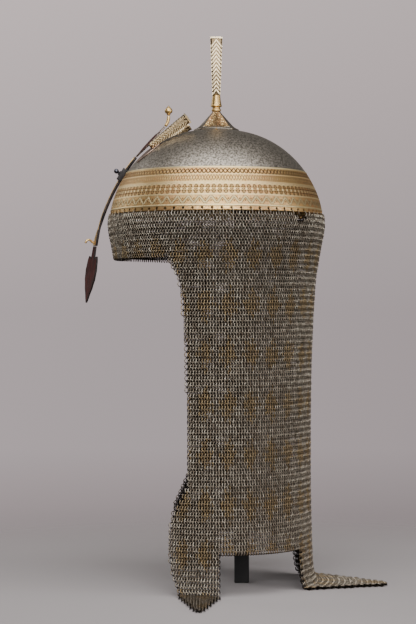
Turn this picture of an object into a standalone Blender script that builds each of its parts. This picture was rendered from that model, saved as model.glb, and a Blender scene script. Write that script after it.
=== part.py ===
"""Kulah khud helmet with its mail, held up by a plain square display post.

Metres, +Z up. The face looks along -X, and the origin is the centre of the post's
foot, on the surface that the post and the tips of the mail rest on.
"""
import math

import bmesh
import bpy
from mathutils import Matrix, Vector

# Clearances
GAP = 0.0003                    # between neighbours that touch
SLOT_CLEARANCE = 0.0004         # round the nasal bar in its bracket
SCREW_CLEARANCE = 0.0003        # round the set screw in its boss

# Bowl: a superellipse turned about the helmet's axis
BOWL_RADIUS = 0.1058
BOWL_HEIGHT = 0.0860
BOWL_WALL = 0.0018
BOWL_SIDE_POWER = 2.355         # fullness of the outline's sides
BOWL_CROWN_POWER = 1.6          # fullness of its crown
LINE_RISE = 0.0004              # height of the raised lines
LINE_RAMP_SHARE = 0.25          # of a line's width, on each side
LOWER_LINE_HEIGHT = 0.0047      # above the rim
LOWER_LINE_WIDTH = 0.0018
UPPER_LINE_HEIGHT = 0.0420
UPPER_LINE_WIDTH = 0.0014
HOLE_COUNT = 72                 # every third column of mail hangs in a hole
HOLE_DIAMETER = 0.0022
HOLE_HEIGHT = 0.0023            # above the rim

# Mail: one sheet, open at the face, with three pointed flaps on its hem
MAIL_LENGTH = 0.3255            # rim to hem
MAIL_THICKNESS = 0.0030
FRINGE_LENGTH = 0.0430          # over the forehead
FACE_HALF_ANGLE = math.radians(62.0)
FLAP_HANG = 0.0405              # hem to the surface below
FRONT_FLAP_RUN = 0.0830         # tip of a front flap beyond its fold
BACK_FLAP_RUN = 0.0750
BACK_FLAP_SKEW = math.radians(15.0)    # toward the wearer's left
FLAP_TIP_SHARE = 0.08           # width of the tip as a share of the flap
FRONT_FLAP_REAR = math.radians(91.5)
BACK_FLAP_HALF_ANGLE = math.radians(31.5)

# Finial
FINIAL_BASE_RADIUS = 0.0226
FINIAL_BASE_HEIGHT = 0.0195
FINIAL_NECK_RADIUS = 0.0042
FINIAL_SIDES = 8
COLLAR_HEIGHT = 0.0162
COLLAR_RADIUS = 0.0056
TUBE_LENGTH = 0.0575
TUBE_FOOT_HALF = 0.0037
TUBE_MOUTH_HALF = 0.0058
TUBE_WALL = 0.0009
TUBE_FLOOR = 0.0020
CHAMFER_SHARE = 0.22            # of a tube's half width

# Plume sockets
SOCKET_ANGLE = math.radians(26.0)   # either side of the front
SOCKET_HEIGHT = 0.0635              # of the socket's foot above the rim
SOCKET_LENGTH = 0.0470
SOCKET_FOOT_HALF = 0.0020
SOCKET_MOUTH_HALF = 0.0042
SOCKET_WALL = 0.0008
SOCKET_FLOOR = 0.0106
SOCKET_LEAN = math.radians(20.0)    # away from the bowl's meridian
SOCKET_LIFT = math.radians(0.0)     # off the bowl's tangent
SOCKET_ROLL = math.radians(16.0)
PLATE_LENGTH = 0.0300
PLATE_WIDTH = 0.0130
PLATE_THICKNESS = 0.0009
PLATE_LEAD = 0.65                   # share of the plate ahead of the tube's foot
PLATE_TIP_SHARE = 0.08              # width of its tips as a share of its width
PLATE_FULLNESS = 0.8                # power of the sine that its sides follow

# Nasal: it slides through its bracket along one arc
NASAL_ARC_RADIUS = 0.2000
BAR_WIDTH = 0.0110
BAR_THICKNESS = 0.0028
BAR_BELOW = 0.0765              # from the bracket's middle to the lower leaf
BAR_ABOVE = 0.0225              # from the bracket's middle to the upper leaf
BAR_TWIST = math.radians(17.5)
BAR_TWIST_LENGTH = 0.0280
LOWER_LEAF_LENGTH = 0.0470
LOWER_LEAF_HALF_WIDTH = 0.0210
LOWER_LEAF_LEAN = math.radians(8.7)
UPPER_LEAF_LENGTH = 0.0315
UPPER_LEAF_HALF_WIDTH = 0.0130
UPPER_LEAF_TWIST = math.radians(10.0)
UPPER_LEAF_LEAN = math.radians(43.5)
UPPER_LEAF_ROOT_WIDTH = 0.0050      # where it grows out of the bar
LEAF_THICKNESS = 0.0016
LEAF_NECK_LENGTH = 0.0100
LEAF_SCALLOPS = 5
LEAF_SCALLOP_DEPTH = 0.035      # share of the leaf's half width
STEM_LENGTH = 0.0115
STEM_RADIUS = 0.0017
BUD_RADIUS = 0.0039
BUD_LENGTH = 0.0100
HOOK_WIRE_RADIUS = 0.0012
HOOK_REACH = 0.0085
HOOK_HEIGHT = 0.0030            # above the lower end of the bar
STEM_STEPS = 5

# Bracket and set screw
BRACKET_RISE = 0.0395           # of its middle above the rim
BRACKET_LENGTH = 0.0130
BRACKET_SIDE = 0.0022
BRACKET_TOP = 0.0012
SLOT_OVERRUN = 0.0039           # of the slot's cutter past each end
BOSS_RADIUS = 0.0034
BOSS_TOP_RADIUS = 0.0022
BOSS_HEIGHT = 0.0016
SCREW_RADIUS = 0.0011
SCREW_STAND = 0.0008            # bare shank above the boss
SCREW_BALL_RADIUS = 0.0026

# Display post
POST_WIDTH = 0.0145
POST_BEHIND = 0.0253            # post's middle behind the bowl's axis
PAD_RADIUS = 0.0380
PAD_THICKNESS = 0.0120

# Fineness of the facets
FRONT_FLAP_CELLS = 5
SIDE_CELLS = 8
BACK_FLAP_CELLS = 10
FLAP_RUN_CELLS = 4
FRINGE_CELLS = 20
BAR_CELLS = 24
SLOT_CELLS = 6
PLATE_CELLS = 10
BALL_STEPS = 6
BOWL_STEPS = 48
OUTLINE_POINTS = 11
INSIDE_POINTS = 7
ROUND_STEPS = 16
MESH_TOLERANCE = 0.00001
DERIVATIVE_STEP = 0.0001

# Derived places
RIM = MAIL_LENGTH + FLAP_HANG
APEX = RIM + BOWL_HEIGHT
AXIS_X = -POST_BEHIND
BAR_STANDOFF = LINE_RISE + GAP + BAR_THICKNESS / 2

# How the mail hangs: down is a share of the mail's length from the rim, radius a
# share of the bowl's radius, and edge a share of the mail's own radius there, which
# says how far forward of the axis the face opening's side lies.
DRAPE = [
    {"down": 0.000, "radius": 1.003, "edge": 0.470},
    {"down": 0.025, "radius": 1.010, "edge": 0.470},
    {"down": 0.052, "radius": 1.003, "edge": 0.470},
    {"down": 0.090, "radius": 0.978, "edge": 0.470},
    {"down": 0.132, "radius": 0.955, "edge": 0.470},
    {"down": 0.150, "radius": 0.946, "edge": 0.438},
    {"down": 0.187, "radius": 0.928, "edge": 0.372},
    {"down": 0.230, "radius": 0.915, "edge": 0.347},
    {"down": 0.323, "radius": 0.898, "edge": 0.322},
    {"down": 0.460, "radius": 0.882, "edge": 0.307},
    {"down": 0.620, "radius": 0.874, "edge": 0.294},
    {"down": 0.796, "radius": 0.874, "edge": 0.294},
    {"down": 0.835, "radius": 0.875, "edge": 0.350},
    {"down": 0.889, "radius": 0.879, "edge": 0.434},
    {"down": 0.925, "radius": 0.881, "edge": 0.476},
    {"down": 1.000, "radius": 0.887, "edge": 0.481},
]

# How a flap hangs and folds: down is a share of the hang, flare a share of the
# bowl's radius added to the hem's radius, and edge as in DRAPE.
FLAP_DRAPE = [
    {"down": 0.35, "flare": 0.006, "edge": 0.458},
    {"down": 0.60, "flare": 0.014, "edge": 0.412},
    {"down": 0.80, "flare": 0.028, "edge": 0.372},
    {"down": 0.92, "flare": 0.050, "edge": 0.360},
]
FLAP_FOLD_FLARE = 0.080         # where the flap lies flat, as a share of the radius
FLAP_FOLD_EDGE = 0.350

# Half outline of a leaf of the nasal, down from its barbs: shares of its length
# and of its half width
LEAF_OUTLINE = [
    {"down": 0.00, "out": 0.74},
    {"down": 0.16, "out": 0.93},
    {"down": 0.34, "out": 1.00},
    {"down": 0.52, "out": 0.88},
    {"down": 0.70, "out": 0.60},
    {"down": 0.86, "out": 0.27},
]
LEAF_NOTCH = {"down": 0.05, "out": 0.30}
LEAF_NECK_OUT = 0.22

# Outline of the finial's base: rise from the bowl as a share of its height, and
# radius as a share of the way from the neck's radius to the base's
BASE_OUTLINE = [
    {"rise": 1.00, "out": 0.00},
    {"rise": 0.93, "out": 0.05},
    {"rise": 0.69, "out": 0.29},
    {"rise": 0.39, "out": 0.56},
    {"rise": 0.05, "out": 1.00},
    {"rise": 0.00, "out": 1.00},
]

# Outline of the finial's collar: shares of its height and of its widest radius
COLLAR_OUTLINE = [
    {"rise": 1.00, "out": 0.68},
    {"rise": 0.70, "out": 0.78},
    {"rise": 0.43, "out": 0.92},
    {"rise": 0.38, "out": 1.00},
    {"rise": 0.32, "out": 0.98},
    {"rise": 0.29, "out": 0.70},
    {"rise": 0.23, "out": 0.68},
    {"rise": 0.18, "out": 0.80},
    {"rise": 0.04, "out": 0.80},
    {"rise": 0.00, "out": 0.72},
]

# Middle of the hook's wire: shares of its reach, out from the bar and up along it
HOOK_OUTLINE = [
    {"out": 0.00, "up": 0.00},
    {"out": 0.20, "up": 0.00},
    {"out": 0.42, "up": 0.16},
    {"out": 0.66, "up": 0.26},
    {"out": 0.86, "up": 0.16},
    {"out": 0.97, "up": -0.04},
    {"out": 1.00, "up": -0.26},
]

# Outline of the bud: shares of its length and radius, from the tip down
BUD_OUTLINE = [
    {"rise": 1.00, "out": 0.00},
    {"rise": 0.86, "out": 0.24},
    {"rise": 0.66, "out": 0.78},
    {"rise": 0.44, "out": 1.00},
    {"rise": 0.20, "out": 0.86},
    {"rise": 0.04, "out": 0.46},
    {"rise": 0.00, "out": 0.00},
]

MATERIALS = {
    "watered_steel": ((0.42, 0.39, 0.36), 1.0, 0.35),
    "gilt": ((0.80, 0.60, 0.30), 1.0, 0.35),
    "silver_gilt": ((0.78, 0.70, 0.55), 1.0, 0.35),
    "russet_steel": ((0.20, 0.07, 0.06), 0.8, 0.45),
    "dark_steel": ((0.12, 0.11, 0.12), 1.0, 0.40),
    "mail": ((0.25, 0.22, 0.18), 0.9, 0.50),
    "black_post": ((0.02, 0.02, 0.02), 0.0, 0.50),
}


def clear_scene():
    """Empty the scene of its objects."""
    for item in list(bpy.data.objects):
        bpy.data.objects.remove(item, do_unlink=True)


def collection(name):
    """Give the collection of this name, made on first use."""
    found = bpy.data.collections.get(name)
    if found is None:
        found = bpy.data.collections.new(name)
        bpy.context.scene.collection.children.link(found)
    return found


def material(name):
    """Give the named finish as a Principled material."""
    found = bpy.data.materials.get(name)
    if found is not None:
        return found
    color, metallic, roughness = MATERIALS[name]
    found = bpy.data.materials.new(name)
    found.use_nodes = True
    shader = found.node_tree.nodes["Principled BSDF"]
    shader.inputs["Base Color"].default_value = (*color, 1.0)
    shader.inputs["Metallic"].default_value = metallic
    shader.inputs["Roughness"].default_value = roughness
    return found


def add_part(name, data, finish):
    """Make one sub-part of the helmet from a mesh or curve."""
    item = bpy.data.objects.new(name, data)
    data.materials.append(material(finish))
    collection("kulah_khud").objects.link(item)
    return item


def add_cutter(name, data):
    """Make a cutter, which shows as wire and isn't part of the helmet."""
    item = bpy.data.objects.new(name, data)
    item.hide_render = True
    item.display_type = "WIRE"
    collection("cutters").objects.link(item)
    return item


def cut(item, cutter, operation="DIFFERENCE"):
    """Put a Boolean on an object."""
    modifier = item.modifiers.new(cutter.name, "BOOLEAN")
    modifier.object = cutter
    modifier.operation = operation
    modifier.solver = "EXACT"


def mesh_from(name, build):
    """Make a mesh with a function that fills a bmesh."""
    work = bmesh.new()
    build(work)
    mesh = bpy.data.meshes.new(name)
    work.to_mesh(mesh)
    work.free()
    return mesh


def bowl_point(turn):
    """Radius and height above the rim at a turn, 0 at the rim and pi/2 at the apex."""
    radius = BOWL_RADIUS * math.cos(turn) ** (2 / BOWL_SIDE_POWER)
    height = BOWL_HEIGHT * math.sin(turn) ** (2 / BOWL_CROWN_POWER)
    return radius, height


def bowl_turn(height):
    """Turn at which the bowl reaches a height above its rim."""
    return math.asin((height / BOWL_HEIGHT) ** (BOWL_CROWN_POWER / 2))


def bowl_normal(turn):
    """Outward normal of the bowl's outline, as (radial, vertical)."""
    if turn < DERIVATIVE_STEP:
        return 1.0, 0.0
    if turn > math.pi / 2 - 2 * DERIVATIVE_STEP:
        return 0.0, 1.0
    low = bowl_point(turn - DERIVATIVE_STEP)
    high = bowl_point(turn + DERIVATIVE_STEP)
    rise = high[1] - low[1]
    inward = low[0] - high[0]
    length = math.hypot(rise, inward)
    return rise / length, inward / length


def bowl_offset(turn, offset):
    """Point of the bowl's outline moved out along its normal, as (radius, z)."""
    radius, height = bowl_point(turn)
    out, up = bowl_normal(turn)
    return radius + offset * out, RIM + height + offset * up


def outer_outline(offset):
    """Outer outline from the apex down to the rim, with the two raised lines."""
    rows = []
    for index in range(OUTLINE_POINTS + 1):
        turn = math.pi / 2 * (1 - index / OUTLINE_POINTS)
        rows.append((turn, offset))
    lines = (
        (LOWER_LINE_HEIGHT, LOWER_LINE_WIDTH),
        (UPPER_LINE_HEIGHT, UPPER_LINE_WIDTH),
    )
    for height, width in lines:
        low, high = bowl_turn(height - width / 2), bowl_turn(height + width / 2)
        ramp = (high - low) * LINE_RAMP_SHARE
        rows = [row for row in rows if not low - ramp < row[0] < high + ramp]
        rows += [(low, offset), (high, offset)]
        rows += [(low + ramp, offset + LINE_RISE), (high - ramp, offset + LINE_RISE)]
    rows.sort(reverse=True)
    return [bowl_offset(turn, lift) for turn, lift in rows]


def inner_outline(offset):
    """Smooth outline at an offset from the bowl, from the rim up to the apex."""
    points = []
    for index in range(INSIDE_POINTS + 1):
        turn = math.pi / 2 * index / INSIDE_POINTS
        points.append(bowl_offset(turn, offset))
    return points


def turned_mesh(name, profile):
    """Make the edge loop of a turned shape, from (radius, z) points."""
    mesh = bpy.data.meshes.new(name)
    points = [(max(radius, 0.0), 0.0, z) for radius, z in profile]
    edges = [(index, index + 1) for index in range(len(points) - 1)]
    if profile[0][0] > MESH_TOLERANCE or profile[-1][0] > MESH_TOLERANCE:
        edges.append((len(points) - 1, 0))
    mesh.from_pydata(points, edges, [])
    return mesh


def screw(item, steps):
    """Turn an object's edge loop about its own Z axis."""
    modifier = item.modifiers.new("turn", "SCREW")
    modifier.axis = "Z"
    modifier.steps = steps
    modifier.render_steps = steps
    modifier.use_merge_vertices = True
    modifier.merge_threshold = MESH_TOLERANCE
    modifier.use_smooth_shade = True


def bowl_envelope(name):
    """Cutter of the bowl's outside with its gap, for what is seated on it."""
    profile = outer_outline(GAP)
    rim_radius, rim_z = profile[-1]
    profile += [(rim_radius, rim_z - BOWL_HEIGHT / 2), (0.0, rim_z - BOWL_HEIGHT / 2)]
    item = add_cutter(name, turned_mesh(name, profile))
    item.location = (AXIS_X, 0.0, 0.0)
    screw(item, BOWL_STEPS)
    return item


def rim_hole_cutter():
    """Six-sided pegs through the rim, one for each hole."""
    reach = BOWL_WALL * 4

    def build(work):
        for index in range(HOLE_COUNT):
            angle = 2 * math.pi * (index + 0.5) / HOLE_COUNT
            place = Matrix.Translation((BOWL_RADIUS, 0.0, RIM + HOLE_HEIGHT))
            out = Matrix.Rotation(angle, 4, "Z") @ place
            bmesh.ops.create_cone(
                work, cap_ends=True, segments=6, radius1=HOLE_DIAMETER / 2,
                radius2=HOLE_DIAMETER / 2, depth=reach,
                matrix=out @ Matrix.Rotation(math.pi / 2, 4, "Y"),
            )

    item = add_cutter("rim_holes", mesh_from("rim_holes", build))
    item.location = (AXIS_X, 0.0, 0.0)
    return item


def make_bowl():
    """The steel skull of the helmet, with its pierced rim."""
    profile = outer_outline(0.0) + inner_outline(-BOWL_WALL)
    item = add_part("bowl", turned_mesh("bowl", profile), "watered_steel")
    item.location = (AXIS_X, 0.0, 0.0)
    screw(item, BOWL_STEPS)
    cut(item, rim_hole_cutter())
    return item


def make_finial_base(envelope):
    """Eight-ridged foot of the finial, shaped to the bowl's top."""
    seat_turn = math.acos((FINIAL_BASE_RADIUS / BOWL_RADIUS) ** (BOWL_SIDE_POWER / 2))
    _, seat = bowl_offset(seat_turn, 0.0)
    reach = FINIAL_BASE_RADIUS - FINIAL_NECK_RADIUS
    profile = [(0.0, seat + FINIAL_BASE_HEIGHT)]
    for row in BASE_OUTLINE:
        radius = FINIAL_NECK_RADIUS + reach * row["out"]
        profile.append((radius, seat + FINIAL_BASE_HEIGHT * row["rise"]))
    depth = FINIAL_BASE_HEIGHT / 4
    profile += [(FINIAL_BASE_RADIUS, seat - depth), (0.0, seat - depth)]
    item = add_part("finial_base", turned_mesh("finial_base", profile), "gilt")
    item.location = (AXIS_X, 0.0, 0.0)
    screw(item, FINIAL_SIDES)
    cut(item, envelope)
    return seat + FINIAL_BASE_HEIGHT


def make_finial_collar(bottom):
    """Turned collar that carries the finial's tube."""
    profile = [(0.0, bottom + COLLAR_HEIGHT)]
    for row in COLLAR_OUTLINE:
        profile.append((COLLAR_RADIUS * row["out"], bottom + COLLAR_HEIGHT * row["rise"]))
    profile.append((0.0, bottom))
    item = add_part("finial_collar", turned_mesh("finial_collar", profile), "gilt")
    item.location = (AXIS_X, 0.0, 0.0)
    screw(item, ROUND_STEPS)
    return bottom + COLLAR_HEIGHT


def flat_sided_tube(name, foot_half, mouth_half, length, wall, floor, place):
    """Square flaring tube with chamfered corners, closed at its foot.

    The tube runs from the place's origin along its Z axis, with faces on X and Y.
    """
    def taper(work, low_half, high_half, low, high, chamfer):
        bmesh.ops.create_cone(
            work, cap_ends=True, segments=4, radius1=low_half * math.sqrt(2),
            radius2=high_half * math.sqrt(2), depth=high - low,
            matrix=Matrix.Translation((0, 0, (low + high) / 2)) @ Matrix.Rotation(math.pi / 4, 4, "Z"),
        )
        uprights = []
        for edge in work.edges:
            rise = abs(edge.verts[0].co.z - edge.verts[1].co.z)
            if rise > (high - low) / 2:
                uprights.append(edge)
        bmesh.ops.bevel(work, geom=uprights, offset=chamfer, segments=1, affect="EDGES")

    chamfer = foot_half * CHAMFER_SHARE * math.sqrt(2)
    slope = (mouth_half - foot_half) / length
    over = wall

    def build(work):
        taper(work, foot_half, mouth_half, 0.0, length, chamfer)

    def build_hollow(work):
        low_half = foot_half + slope * floor - wall
        high_half = mouth_half + slope * over - wall
        taper(work, low_half, high_half, floor, length + over, chamfer)

    item = add_part(name, mesh_from(name, build), "silver_gilt")
    cutter = add_cutter(name + "_hollow", mesh_from(name + "_hollow", build_hollow))
    item.matrix_world = place
    cutter.matrix_world = place
    cut(item, cutter)
    return item


def socket_frame(side):
    """Place of a plume socket's foot on the bowl: origin, normal and run of its plate.

    side is -1 for the wearer's left and 1 for the right.
    """
    turn = bowl_turn(SOCKET_HEIGHT)
    radius, z = bowl_offset(turn, 0.0)
    out, up = bowl_normal(turn)
    radial = Vector((-math.cos(SOCKET_ANGLE), side * math.sin(SOCKET_ANGLE), 0.0))
    rearward = Vector((math.sin(SOCKET_ANGLE), side * math.cos(SOCKET_ANGLE), 0.0))
    normal = radial * out + Vector((0, 0, 1)) * up
    meridian = Vector((0, 0, 1)) * out - radial * up
    run = meridian * math.cos(SOCKET_LEAN) + rearward * math.sin(SOCKET_LEAN)
    origin = Vector((AXIS_X, 0.0, z)) + radial * radius
    return origin, normal.normalized(), run.normalized()


def nearest_on_bowl(point, offset):
    """Nearest point to a given one on the bowl's outside, moved out by an offset."""
    flat = Vector((point.x - AXIS_X, point.y, 0.0))
    radius = flat.length
    low, high = 0.0, math.pi / 2
    for _ in range(40):
        turn = (low + high) / 2
        base_radius, base_z = bowl_offset(turn, 0.0)
        out, up = bowl_normal(turn)
        ahead = (radius - base_radius) * -up + (point.z - base_z) * out
        if ahead > 0:
            low = turn
        else:
            high = turn
    seat_radius, seat_z = bowl_offset(turn, offset)
    return Vector((AXIS_X, 0.0, seat_z)) + flat.normalized() * seat_radius


def make_socket_plate(name, side):
    """Leaf-shaped plate under a plume socket, curved to the bowl."""
    origin, normal, run = socket_frame(side)
    across = normal.cross(run)
    sink = GAP + PLATE_THICKNESS / 2

    def build(work):
        bmesh.ops.create_grid(work, x_segments=PLATE_CELLS, y_segments=4, size=0.5)
        for vert in work.verts:
            share = vert.co.x + 0.5
            swell = max(math.sin(math.pi * share), 0.0) ** PLATE_FULLNESS
            width = PLATE_WIDTH * (PLATE_TIP_SHARE + (1 - PLATE_TIP_SHARE) * swell)
            flat = origin + run * PLATE_LENGTH * (share - PLATE_LEAD) + across * width * vert.co.y
            vert.co = nearest_on_bowl(flat, sink)

    item = add_part(name, mesh_from(name, build), "silver_gilt")
    wall = item.modifiers.new("wall", "SOLIDIFY")
    wall.thickness = PLATE_THICKNESS
    wall.offset = 0.0
    return item


def make_socket_tube(name, side):
    """Flaring plume socket, which lies on its plate at its foot."""
    origin, normal, run = socket_frame(side)
    axis = run * math.cos(SOCKET_LIFT) + normal * math.sin(SOCKET_LIFT)
    roll = Matrix.Rotation(-side * SOCKET_ROLL, 3, axis)
    upward = roll @ (normal - axis * normal.dot(axis)).normalized()
    across = upward.cross(axis)
    corner = math.cos(SOCKET_ROLL) + math.sin(SOCKET_ROLL) * (1 - CHAMFER_SHARE)
    seat = 2 * GAP + PLATE_THICKNESS + SOCKET_FOOT_HALF * corner
    place = Matrix((across, upward, axis)).transposed().to_4x4()
    place.translation = origin + normal * seat
    return flat_sided_tube(
        name, SOCKET_FOOT_HALF, SOCKET_MOUTH_HALF, SOCKET_LENGTH, SOCKET_WALL, SOCKET_FLOOR, place,
    )


def nasal_centre():
    """Centre of the arc that the nasal slides along, in the middle plane."""
    turn = bowl_turn(BRACKET_RISE)
    out, up = bowl_normal(turn)
    radius, z = bowl_offset(turn, BAR_STANDOFF)
    return Vector((AXIS_X - radius + NASAL_ARC_RADIUS * out, 0.0, z - NASAL_ARC_RADIUS * up))


def nasal_frame(distance, twist=0.0):
    """Frame on the nasal's arc at a distance above the bracket's middle.

    Gives the origin, the direction up the bar, the direction across it and the
    outward normal.
    """
    out, up = bowl_normal(bowl_turn(BRACKET_RISE))
    angle = math.atan2(up, out) + distance / NASAL_ARC_RADIUS
    normal = Vector((-math.cos(angle), 0.0, math.sin(angle)))
    upward = Vector((math.sin(angle), 0.0, math.cos(angle)))
    origin = nasal_centre() + normal * NASAL_ARC_RADIUS
    turn = Matrix.Rotation(twist, 3, upward)
    return origin, upward, turn @ Vector((0.0, 1.0, 0.0)), turn @ normal


def bar_twist(distance):
    """Twist of the nasal bar at a distance above the bracket's middle."""
    share = (-distance - (BAR_BELOW - BAR_TWIST_LENGTH)) / BAR_TWIST_LENGTH
    share = min(max(share, 0.0), 1.0)
    return BAR_TWIST * share * share * (3 - 2 * share)


def bar_width(distance):
    """Width of the nasal bar, which narrows above the bracket to its upper leaf."""
    share = (distance - BRACKET_LENGTH) / (BAR_ABOVE - BRACKET_LENGTH)
    share = min(max(share, 0.0), 1.0)
    return BAR_WIDTH + (UPPER_LEAF_ROOT_WIDTH - BAR_WIDTH) * share * share


def make_nasal_bar(pivot):
    """Flat bar of the nasal, bent to the arc and twisted at its lower end."""
    low, high = -BAR_BELOW + GAP, BAR_ABOVE - GAP

    def build(work):
        bmesh.ops.create_grid(work, x_segments=BAR_CELLS, y_segments=2, size=0.5)
        for vert in work.verts:
            distance = low + (high - low) * (vert.co.x + 0.5)
            origin, _, across, _ = nasal_frame(distance, bar_twist(distance))
            vert.co = origin + across * bar_width(distance) * vert.co.y - pivot.location

    item = add_part("nasal_bar", mesh_from("nasal_bar", build), "gilt")
    wall = item.modifiers.new("wall", "SOLIDIFY")
    wall.thickness = BAR_THICKNESS
    wall.offset = 0.0
    item.parent = pivot
    return item


def leaf_outline(length, half_width, tip_width):
    """Closed outline of a nasal leaf: tip at -Y, neck at +Y, barbs either side."""
    half = [(half_width * LEAF_NECK_OUT, LEAF_NECK_LENGTH)]
    half.append((half_width * LEAF_NOTCH["out"], -length * LEAF_NOTCH["down"]))
    rows = LEAF_OUTLINE + [{"down": 1.0, "out": 0.0}]
    per_scallop = 2
    for index in range(LEAF_SCALLOPS * per_scallop):
        share = index / (LEAF_SCALLOPS * per_scallop)
        upper = max(row for row in range(len(rows) - 1) if rows[row]["down"] <= share)
        span = rows[upper + 1]["down"] - rows[upper]["down"]
        part = (share - rows[upper]["down"]) / span
        out = rows[upper]["out"] * (1 - part) + rows[upper + 1]["out"] * part
        if index % per_scallop:
            out += LEAF_SCALLOP_DEPTH
        half.append((max(half_width * out, tip_width / 2), -length * share))
    half.append((tip_width / 2, -length))
    return half + [(-x, y) for x, y in reversed(half)]


def make_leaf(name, pivot, length, half_width, tip_width, place):
    """Flat leaf of the nasal, as a filled outline of its own thickness."""
    data = bpy.data.curves.new(name, "CURVE")
    data.dimensions = "2D"
    data.fill_mode = "BOTH"
    data.extrude = LEAF_THICKNESS / 2
    points = leaf_outline(length, half_width, tip_width)
    spline = data.splines.new("POLY")
    spline.points.add(len(points) - 1)
    for point, (x, y) in zip(spline.points, points):
        point.co = (x, y, 0.0, 1.0)
    spline.use_cyclic_u = True
    item = add_part(name, data, "russet_steel")
    item.parent = pivot
    item.matrix_parent_inverse = pivot.matrix_world.inverted()
    item.matrix_world = place
    return item


def lean_frame(origin, lean, twist):
    """Placement in the middle plane: Y leans back from vertical, Z faces outward."""
    upward = Vector((math.sin(lean), 0.0, math.cos(lean)))
    normal = Vector((-math.cos(lean), 0.0, math.sin(lean)))
    turn = Matrix.Rotation(twist, 3, upward)
    across = upward.cross(turn @ normal)
    place = Matrix((across, upward, turn @ normal)).transposed().to_4x4()
    place.translation = origin
    return place


def make_leaves(pivot):
    """Lower leaf before the nose and upper leaf above the bracket."""
    end, _, _, _ = nasal_frame(-BAR_BELOW - GAP)
    down = Vector((-math.sin(LOWER_LEAF_LEAN), 0.0, -math.cos(LOWER_LEAF_LEAN)))
    place = lean_frame(end + down * LEAF_NECK_LENGTH, LOWER_LEAF_LEAN, BAR_TWIST)
    make_leaf(
        "nasal_lower_leaf", pivot, LOWER_LEAF_LENGTH, LOWER_LEAF_HALF_WIDTH, LEAF_THICKNESS / 2, place,
    )

    start, _, _, _ = nasal_frame(BAR_ABOVE + GAP)
    up = Vector((math.sin(UPPER_LEAF_LEAN), 0.0, math.cos(UPPER_LEAF_LEAN)))
    place = lean_frame(start + up * UPPER_LEAF_LENGTH, UPPER_LEAF_LEAN, UPPER_LEAF_TWIST)
    make_leaf(
        "nasal_upper_leaf", pivot, UPPER_LEAF_LENGTH, UPPER_LEAF_HALF_WIDTH, UPPER_LEAF_ROOT_WIDTH, place,
    )
    return start + up * (UPPER_LEAF_LENGTH + LEAF_NECK_LENGTH + GAP)


def wire(name, points, radius, finish, pivot):
    """Round wire through a few points, with filled ends."""
    data = bpy.data.curves.new(name, "CURVE")
    data.dimensions = "3D"
    data.bevel_depth = radius
    data.bevel_resolution = 2
    data.use_fill_caps = True
    spline = data.splines.new("POLY")
    spline.points.add(len(points) - 1)
    for point, place in zip(spline.points, points):
        point.co = (*(place - pivot.location), 1.0)
    item = add_part(name, data, finish)
    item.parent = pivot
    return item


def make_bud(pivot, foot):
    """Stem that turns upright from the upper leaf, and the bud on its end."""
    stem_points = []
    for index in range(STEM_STEPS + 1):
        share = index / STEM_STEPS
        lean = UPPER_LEAF_LEAN * (1 - share)
        if index == 0:
            place = foot + Vector((math.sin(lean), 0.0, math.cos(lean))) * GAP
        else:
            place = place + Vector((math.sin(lean), 0.0, math.cos(lean))) * STEM_LENGTH / STEM_STEPS
        stem_points.append(place)
    wire("nasal_stem", stem_points, STEM_RADIUS, "gilt", pivot)

    bottom = stem_points[-1] + Vector((0, 0, GAP))
    profile = [(BUD_RADIUS * row["out"], BUD_LENGTH * row["rise"]) for row in BUD_OUTLINE]
    item = add_part("nasal_bud", turned_mesh("nasal_bud", profile), "gilt")
    screw(item, ROUND_STEPS)
    item.parent = pivot
    item.location = bottom - pivot.location


def make_hook(pivot):
    """Small hook on the front of the bar, which curls down at its end."""
    distance = -BAR_BELOW + HOOK_HEIGHT
    origin, upward, _, normal = nasal_frame(distance, bar_twist(distance))
    root = origin + normal * (BAR_THICKNESS / 2 + GAP)
    points = [root + (normal * row["out"] + upward * row["up"]) * HOOK_REACH for row in HOOK_OUTLINE]
    wire("nasal_hook", points, HOOK_WIRE_RADIUS, "gilt", pivot)


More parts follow.
